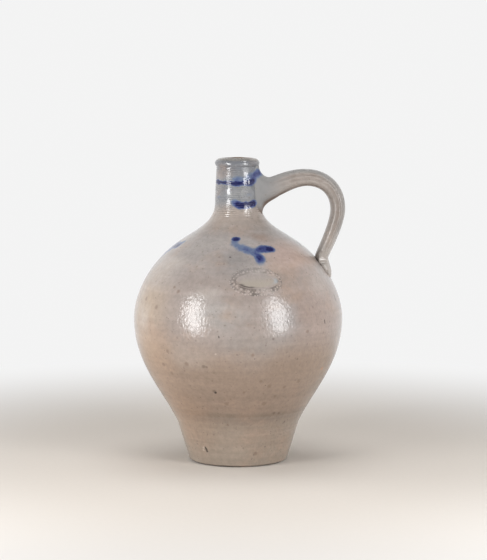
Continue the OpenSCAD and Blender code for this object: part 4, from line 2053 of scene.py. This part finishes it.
@dataclass
class AppliedSeal:
    """Oval pad with a plain field and a beaded border, pressed on to the shoulder."""

    vessel: VesselOutline
    azimuth: float = math.radians(12.7)
    height: float = 0.1680
    field_w: float = 0.037
    field_h: float = 0.0132
    border_side: float = 0.0052
    border_top: float = 0.0084
    border_back: float = 0.0018
    border_t: float = 0.0006
    field_t: float = 0.0003
    edge_sink: float = 0.0003
    bead_rows: tuple[BeadRow, ...] = (BeadRow(0.42, 36, 0.0021, 5), BeadRow(0.80, 44, 0.0016, 9))
    bead_sizes: Pair = (0.36, 1.10)
    bead_shift: float = 0.00048
    groove_depth: float = 0.00022
    hollow_depth: float = 0.0003
    ridge_rise: float = 0.0002
    low_left: Pair = (232.0, 0.56)
    right: Pair = (-4.0, 0.46)
    below: Pair = (276.0, 0.55)
    # Where the painted shade in the groove is darkest, as angles round the oval and half widths.
    darkest: tuple[Pair, ...] = ((212.0, 0.15), (249.0, 0.15))
    wall_step: float = 0.0005
    under_step: int = 6
    middle_share: float = 0.04
    sink: float = 0.0006
    sides: int = 400
    field_rows: int = 16
    border_rows: int = 48

    ROUND_POINTS: ClassVar[int] = 721

    def build(self, clay: Material) -> Piece:
        """Makes the seal and dresses it.

        Args:
            clay: Finish of the seal.

        Returns:
            The piece.
        """
        angle = full_turn(self.sides)
        inner = np.linspace(self.middle_share, 1.0, self.field_rows)[:, None]
        outer = np.linspace(0.0, 1.0, self.border_rows + 1)[1:, None]
        flat = np.concatenate([inner[..., None] * self.oval(0.0, angle), self.oval(outer, angle)])
        share = np.broadcast_to(np.concatenate([inner - 1.0, outer]), flat.shape[:2])
        height, marks = self.relief(flat, share, np.broadcast_to(angle, flat.shape[:2]))
        top = self.on_wall(flat, height)
        under = self.on_wall(flat[:: -self.under_step], -self.sink)
        marks = {key: np.concatenate([values, np.zeros(under.shape[:2])]) for key, values in marks.items()}
        piece = Skin("beaded_seal", np.concatenate([top, under]), marks=marks).build()
        return adopt(piece, Slot.SEAL, "seal", clay)

    def oval(self, share: Array, angle: Array) -> Array:
        """Places round the pad, on the field's edge at a share of 0 and on the pad's edge at 1.

        Args:
            share: Share of the border's width.
            angle: Angles round the oval.

        Returns:
            Places across and up the pad.
        """
        wide = self.field_w / 2 + share * self.border_side
        high = self.field_h / 2 + share * self.border_top
        return np.stack([wide * np.cos(angle) - share * self.border_back, high * np.sin(angle)], -1)

    def beads(self, row: BeadRow) -> tuple[Array, Array]:
        """Places of the beads in one row of the border.

        Args:
            row: The row.

        Returns:
            Their places across and up the pad, and their sizes as a share of a full bead.
        """
        line = self.oval(row.share, np.linspace(0, 2 * math.pi, self.ROUND_POINTS))
        places = spaced(line, run_along(line)[-1] / row.count)[: row.count]
        draw = np.random.default_rng(row.seed)
        places = places + draw.normal(0, self.bead_shift, places.shape)
        return places, draw.uniform(*self.bead_sizes, len(places))

    def relief(self, flat: Array, share: Array, angle: Array) -> tuple[Array, dict[str, Array]]:
        """Height of the seal above the wall, and the marks that its finish reads.

        Args:
            flat: Places across and up the pad.
            share: Place of each point, negative in the field and up to 1 at the pad's edge.
            angle: Angle of each point round the oval.

        Returns:
            Heights in metres, and marks from 0 to 1.
        """
        low_left, right = lobe_at(angle, *self.low_left), lobe_at(angle, *self.right)
        ridge = lobe_at(angle, *self.below) * bump_at(share, 0.15, 0.10)
        dark = [lobe_at(angle, *lobe) for lobe in self.darkest]
        groove = bump_at(share, -0.03, 0.072)
        height = self.field_t + (self.border_t - self.field_t) * ease(share, -0.02, 0.22)
        height = height - (height + self.edge_sink) * ease(share, 0.55, 1.0)
        height = height - self.groove_depth * groove * (low_left + right)
        height = height - self.hollow_depth * right * bump_at(share, -0.12, 0.12) + self.ridge_rise * ridge
        border = between(share, (0.05, 0.2), (0.82, 1.0))
        nearest = np.full(share.shape, np.inf)
        for row in self.bead_rows:
            for place, part in zip(*self.beads(row)):
                away = np.linalg.norm(flat - place, axis=-1) / (row.size * part / 2)
                height = height + np.sqrt(np.clip(1 - away**2, 0, None)) * row.size * 0.25 * part**2
                nearest = np.minimum(nearest, away)
        # Less painted shade on the upper half of the border, which faces the light.
        less_shade_on_top = 1 - 0.6 * ease(np.sin(angle), 0.0, 0.8)
        # Painted shade round the foot of each bead and, at the lower left and the right end, in the groove
        # round the field.
        dirt = 0.80 * less_shade_on_top * border * ease(nearest, 0.90, 1.40)
        dirt = np.maximum(dirt, groove * (1.3 * low_left + 0.5 * right))
        marks = {
            "field": (1 - ease(share, -0.30, 0.0)) * (0.75 - 0.70 * ease(flat[..., 1], -0.003, 0.004)),
            "hollow": right * between(share, (-0.30, -0.16), (-0.06, 0.0)),
            # Pale on the beads, plus a painted highlight on the raised ridge below the field where it catches
            # the light.
            "bead": border * (1 - ease(nearest, 0.5, 1.0)) * 0.32 + 0.8 * ridge,
            "dirt": np.clip(dirt, 0, 1),
            # Painted shade: a dark line in the groove along the lower-left edge of the field.
            "groove": 0.95 * bump_at(share, -0.05, 0.12) * np.maximum(*dark),
        }
        return height, marks

    def on_wall(self, flat: Array, height: Array) -> Array:
        """Wraps places on the pad round the wall.

        Args:
            flat: Places across and up the pad.
            height: Heights above the wall.

        Returns:
            Points in the frame.
        """
        line = spaced(self.vessel.side(0), self.wall_step)
        run = run_along(line)
        at = np.interp(self.height, line[:, 1], run) + flat[..., 1]
        reach, up, out_r, out_z = (np.interp(at, run, column) for column in (*line.T, *outward(line).T))
        azimuth = self.azimuth + flat[..., 0] / self.vessel.radius(self.height)
        return round_axis(reach + height * out_r, azimuth, up + height * out_z)


@dataclass(frozen=True)
class StudioPaper:
    """Pale matt floor that fades into the backdrop's white."""

    name: str = "studio_paper"
    paper: Tone = tone("D4CDC5")
    fade_start: float = 0.18
    fade_end: float = 0.62
    grain_size: float = 0.004
    rough: float = 0.9
    shine: float = 0.1

    def material(self, backdrop: float) -> Material:
        """Builds the material.

        Args:
            backdrop: Level of the white that the floor fades into.

        Returns:
            The material.
        """
        bench = Bench(self.name)
        grain = bench.noise(bench.place, self.grain_size, 3.0)
        colour = bench.shaded(self.paper, grain, 0.985, 1.0)
        bench.finish(Base_Color=colour, Roughness=self.rough, Specular_IOR_Level=self.shine)
        far = bench.graded(bench.length(bench.place), self.fade_start, self.fade_end)
        ray = bench.node("ShaderNodeLightPath")
        seen = bench.sum("MAXIMUM", ray.outputs["Is Camera Ray"], ray.outputs["Is Glossy Ray"])
        seen = bench.sum("MAXIMUM", seen, ray.outputs["Is Transmission Ray"])
        white = bench.node("ShaderNodeEmission", Color=(backdrop, backdrop, backdrop, 1.0))
        mixed = bench.node("ShaderNodeMixShader", Fac=bench.times(far, seen))
        bench.feed(mixed.inputs[1], bench.shader.outputs["BSDF"])
        bench.feed(mixed.inputs[2], white.outputs["Emission"])
        bench.feed(bench.output.inputs["Surface"], mixed.outputs["Shader"])
        return bench.material


@dataclass(frozen=True)
class SoftBox:
    """One tall soft lamp that faces the jug."""

    name: str
    towards: tuple[float, float, float]
    width: float
    height: float
    radiance: float
    distance: float
    mirrored: bool = True
    roll_deg: float = 0.0

    def build(self, target: Vector) -> None:
        """Hangs the lamp.

        Args:
            target: Point that it faces.
        """
        lamp = bpy.data.lights.new(self.name, "AREA")
        lamp.shape = "ELLIPSE"
        lamp.size, lamp.size_y = self.width, self.height
        lamp.energy = self.radiance * math.pi * self.width * self.height * math.pi / 4
        box = placed(self.name, lamp)
        back = Vector(self.towards).normalized()
        box.location = target + back * self.distance
        box.rotation_mode = "QUATERNION"
        roll = Quaternion((0.0, 0.0, 1.0), math.radians(self.roll_deg))
        box.rotation_quaternion = (-back).to_track_quat("-Z", "Y") @ roll
        box.visible_camera = False
        box.visible_glossy = self.mirrored


@dataclass
class Studio:
    """Floor, lamps, white surroundings and the camera."""

    camera_at: tuple[float, float, float] = (0.00482, -1.80135, 0.35294)
    camera_dip_deg: float = 6.087
    lens: float = 130.82
    sensor: float = 36.0
    floor_r: float = 6.0
    floor_sides: int = 96
    backdrop: float = 0.90
    ambient: float = 0.265
    front: float = 0.22
    front_span: Pair = (-0.75, 0.35)
    ceiling: float = 0.20
    ceiling_span: Pair = (0.30, 0.85)
    target_z: float = 0.14
    lamps: tuple[SoftBox, ...] = (
        SoftBox("left_softbox", (-0.729, -0.665, 0.190), 0.21, 0.57, 10.6, 0.66, True, 13.0),
        SoftBox("right_softbox", (0.660, -0.714, 0.210), 0.23, 0.57, 9.0, 0.66),
        SoftBox("left_panel", (-0.90, 0.40, 0.15), 1.35, 1.8, 3.0, 2.1, False),
        SoftBox("right_panel", (0.90, 0.40, 0.15), 1.35, 1.8, 1.8, 2.1, False),
        SoftBox("top_panel", (0.0, 0.10, 1.0), 1.35, 1.35, 2.35, 1.7, False),
    )

    def build(self) -> None:
        """Sets up the whole studio."""
        self.floor()
        self.surroundings()
        target = Vector((0.0, 0.0, self.target_z))
        for lamp in self.lamps:
            lamp.build(target)
        self.camera()

    def floor(self) -> None:
        """Lays a wide round floor at the jug's base."""
        mesh = bpy.data.meshes.new("studio_floor")
        rim = oval_arc((0.0, 0.0), self.floor_r, self.floor_r, 0, 360, self.floor_sides + 1)[:-1]
        mesh.from_pydata([(x, y, 0.0) for x, y in rim.tolist()], [], [list(range(len(rim)))])
        mesh.materials.append(StudioPaper().material(self.backdrop))
        sheet = placed("studio_floor", mesh)
        sheet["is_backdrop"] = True

    def surroundings(self) -> None:
        """Wraps the studio in white walls whose mirror images dim overhead and behind the camera."""
        world = bpy.data.worlds.new("studio_white")
        world.use_nodes = True
        board = NodeBoard(world.node_tree)
        facing = board.node("ShaderNodeTexCoord").outputs["Generated"]
        split = board.node("ShaderNodeSeparateXYZ", Vector=facing)
        ahead = board.graded(split.outputs["Y"], *self.front_span, self.front, 1.0)
        above = board.graded(split.outputs["Z"], *self.ceiling_span, 1.0, self.ceiling)
        mirrored = board.times(board.times(ahead, above), self.backdrop)
        ray = board.node("ShaderNodeLightPath")
        level = board.either(ray.outputs["Is Glossy Ray"], self.ambient, mirrored)
        level = board.either(ray.outputs["Is Transmission Ray"], level, mirrored)
        level = board.either(ray.outputs["Is Camera Ray"], level, self.backdrop)
        glow = board.node("ShaderNodeBackground", Color=(1.0, 1.0, 1.0, 1.0), Strength=level)
        board.node("ShaderNodeOutputWorld", Surface=glow.outputs["Background"])
        bpy.context.scene.world = world

    def camera(self) -> None:
        """Stands the camera where the photograph was taken from."""
        data = bpy.data.cameras.new("camera")
        data.lens = self.lens
        data.sensor_width = self.sensor
        camera = placed("camera", data)
        camera.location = self.camera_at
        camera.rotation_euler = (math.radians(90 - self.camera_dip_deg), 0.0, 0.0)
        bpy.context.scene.camera = camera


def write_sizes() -> None:
    """Works out the box of the solids and the box of the dressed jug as plain lists; nothing is written."""
    boxes = {"cad": CAD_BOX, "visual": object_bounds()}
    plain = {name: [list(corner) for corner in box] for name, box in boxes.items()}


def main() -> None:
    """Builds the studio and the dressed jug, and reports each piece."""
    logging.basicConfig(level=logging.INFO, format="%(name)s: %(message)s")
    bpy.context.scene.view_settings.view_transform = "Standard"
    Studio().build()
    vessel = VesselOutline()
    brush = CobaltBrush(vessel)
    glazes = {}
    for part in Section:
        heights = vessel.outer(part)[:, 1]
        name = f"salt_glaze_{part.name.lower()}"
        kind = NeckGlaze if part is Section.NECK else SaltGlaze
        glazes[part] = kind(name, vessel, heights.min(), heights.max()).material(brush)
    handle_glaze = HandleGlaze("salt_glaze_handle", vessel, vessel.neck_z, vessel.top_z).material(brush)
    seal_clay = SealClay("seal_clay", vessel).material(brush)
    inside, base = InsideSlip().material(), BareClay().material()
    body = ThrownBody(vessel, WheelMarks(vessel)).build(glazes, inside, base)
    handle = PulledHandle(HandleOutline(), vessel).build(handle_glaze)
    seal = AppliedSeal(vessel).build(seal_clay)
    for piece in (*body, *handle, seal):
        LOG.info("%s: %d faces", piece.name, len(piece.data.polygons))
    write_sizes()


if __name__ == "__main__":
    main()
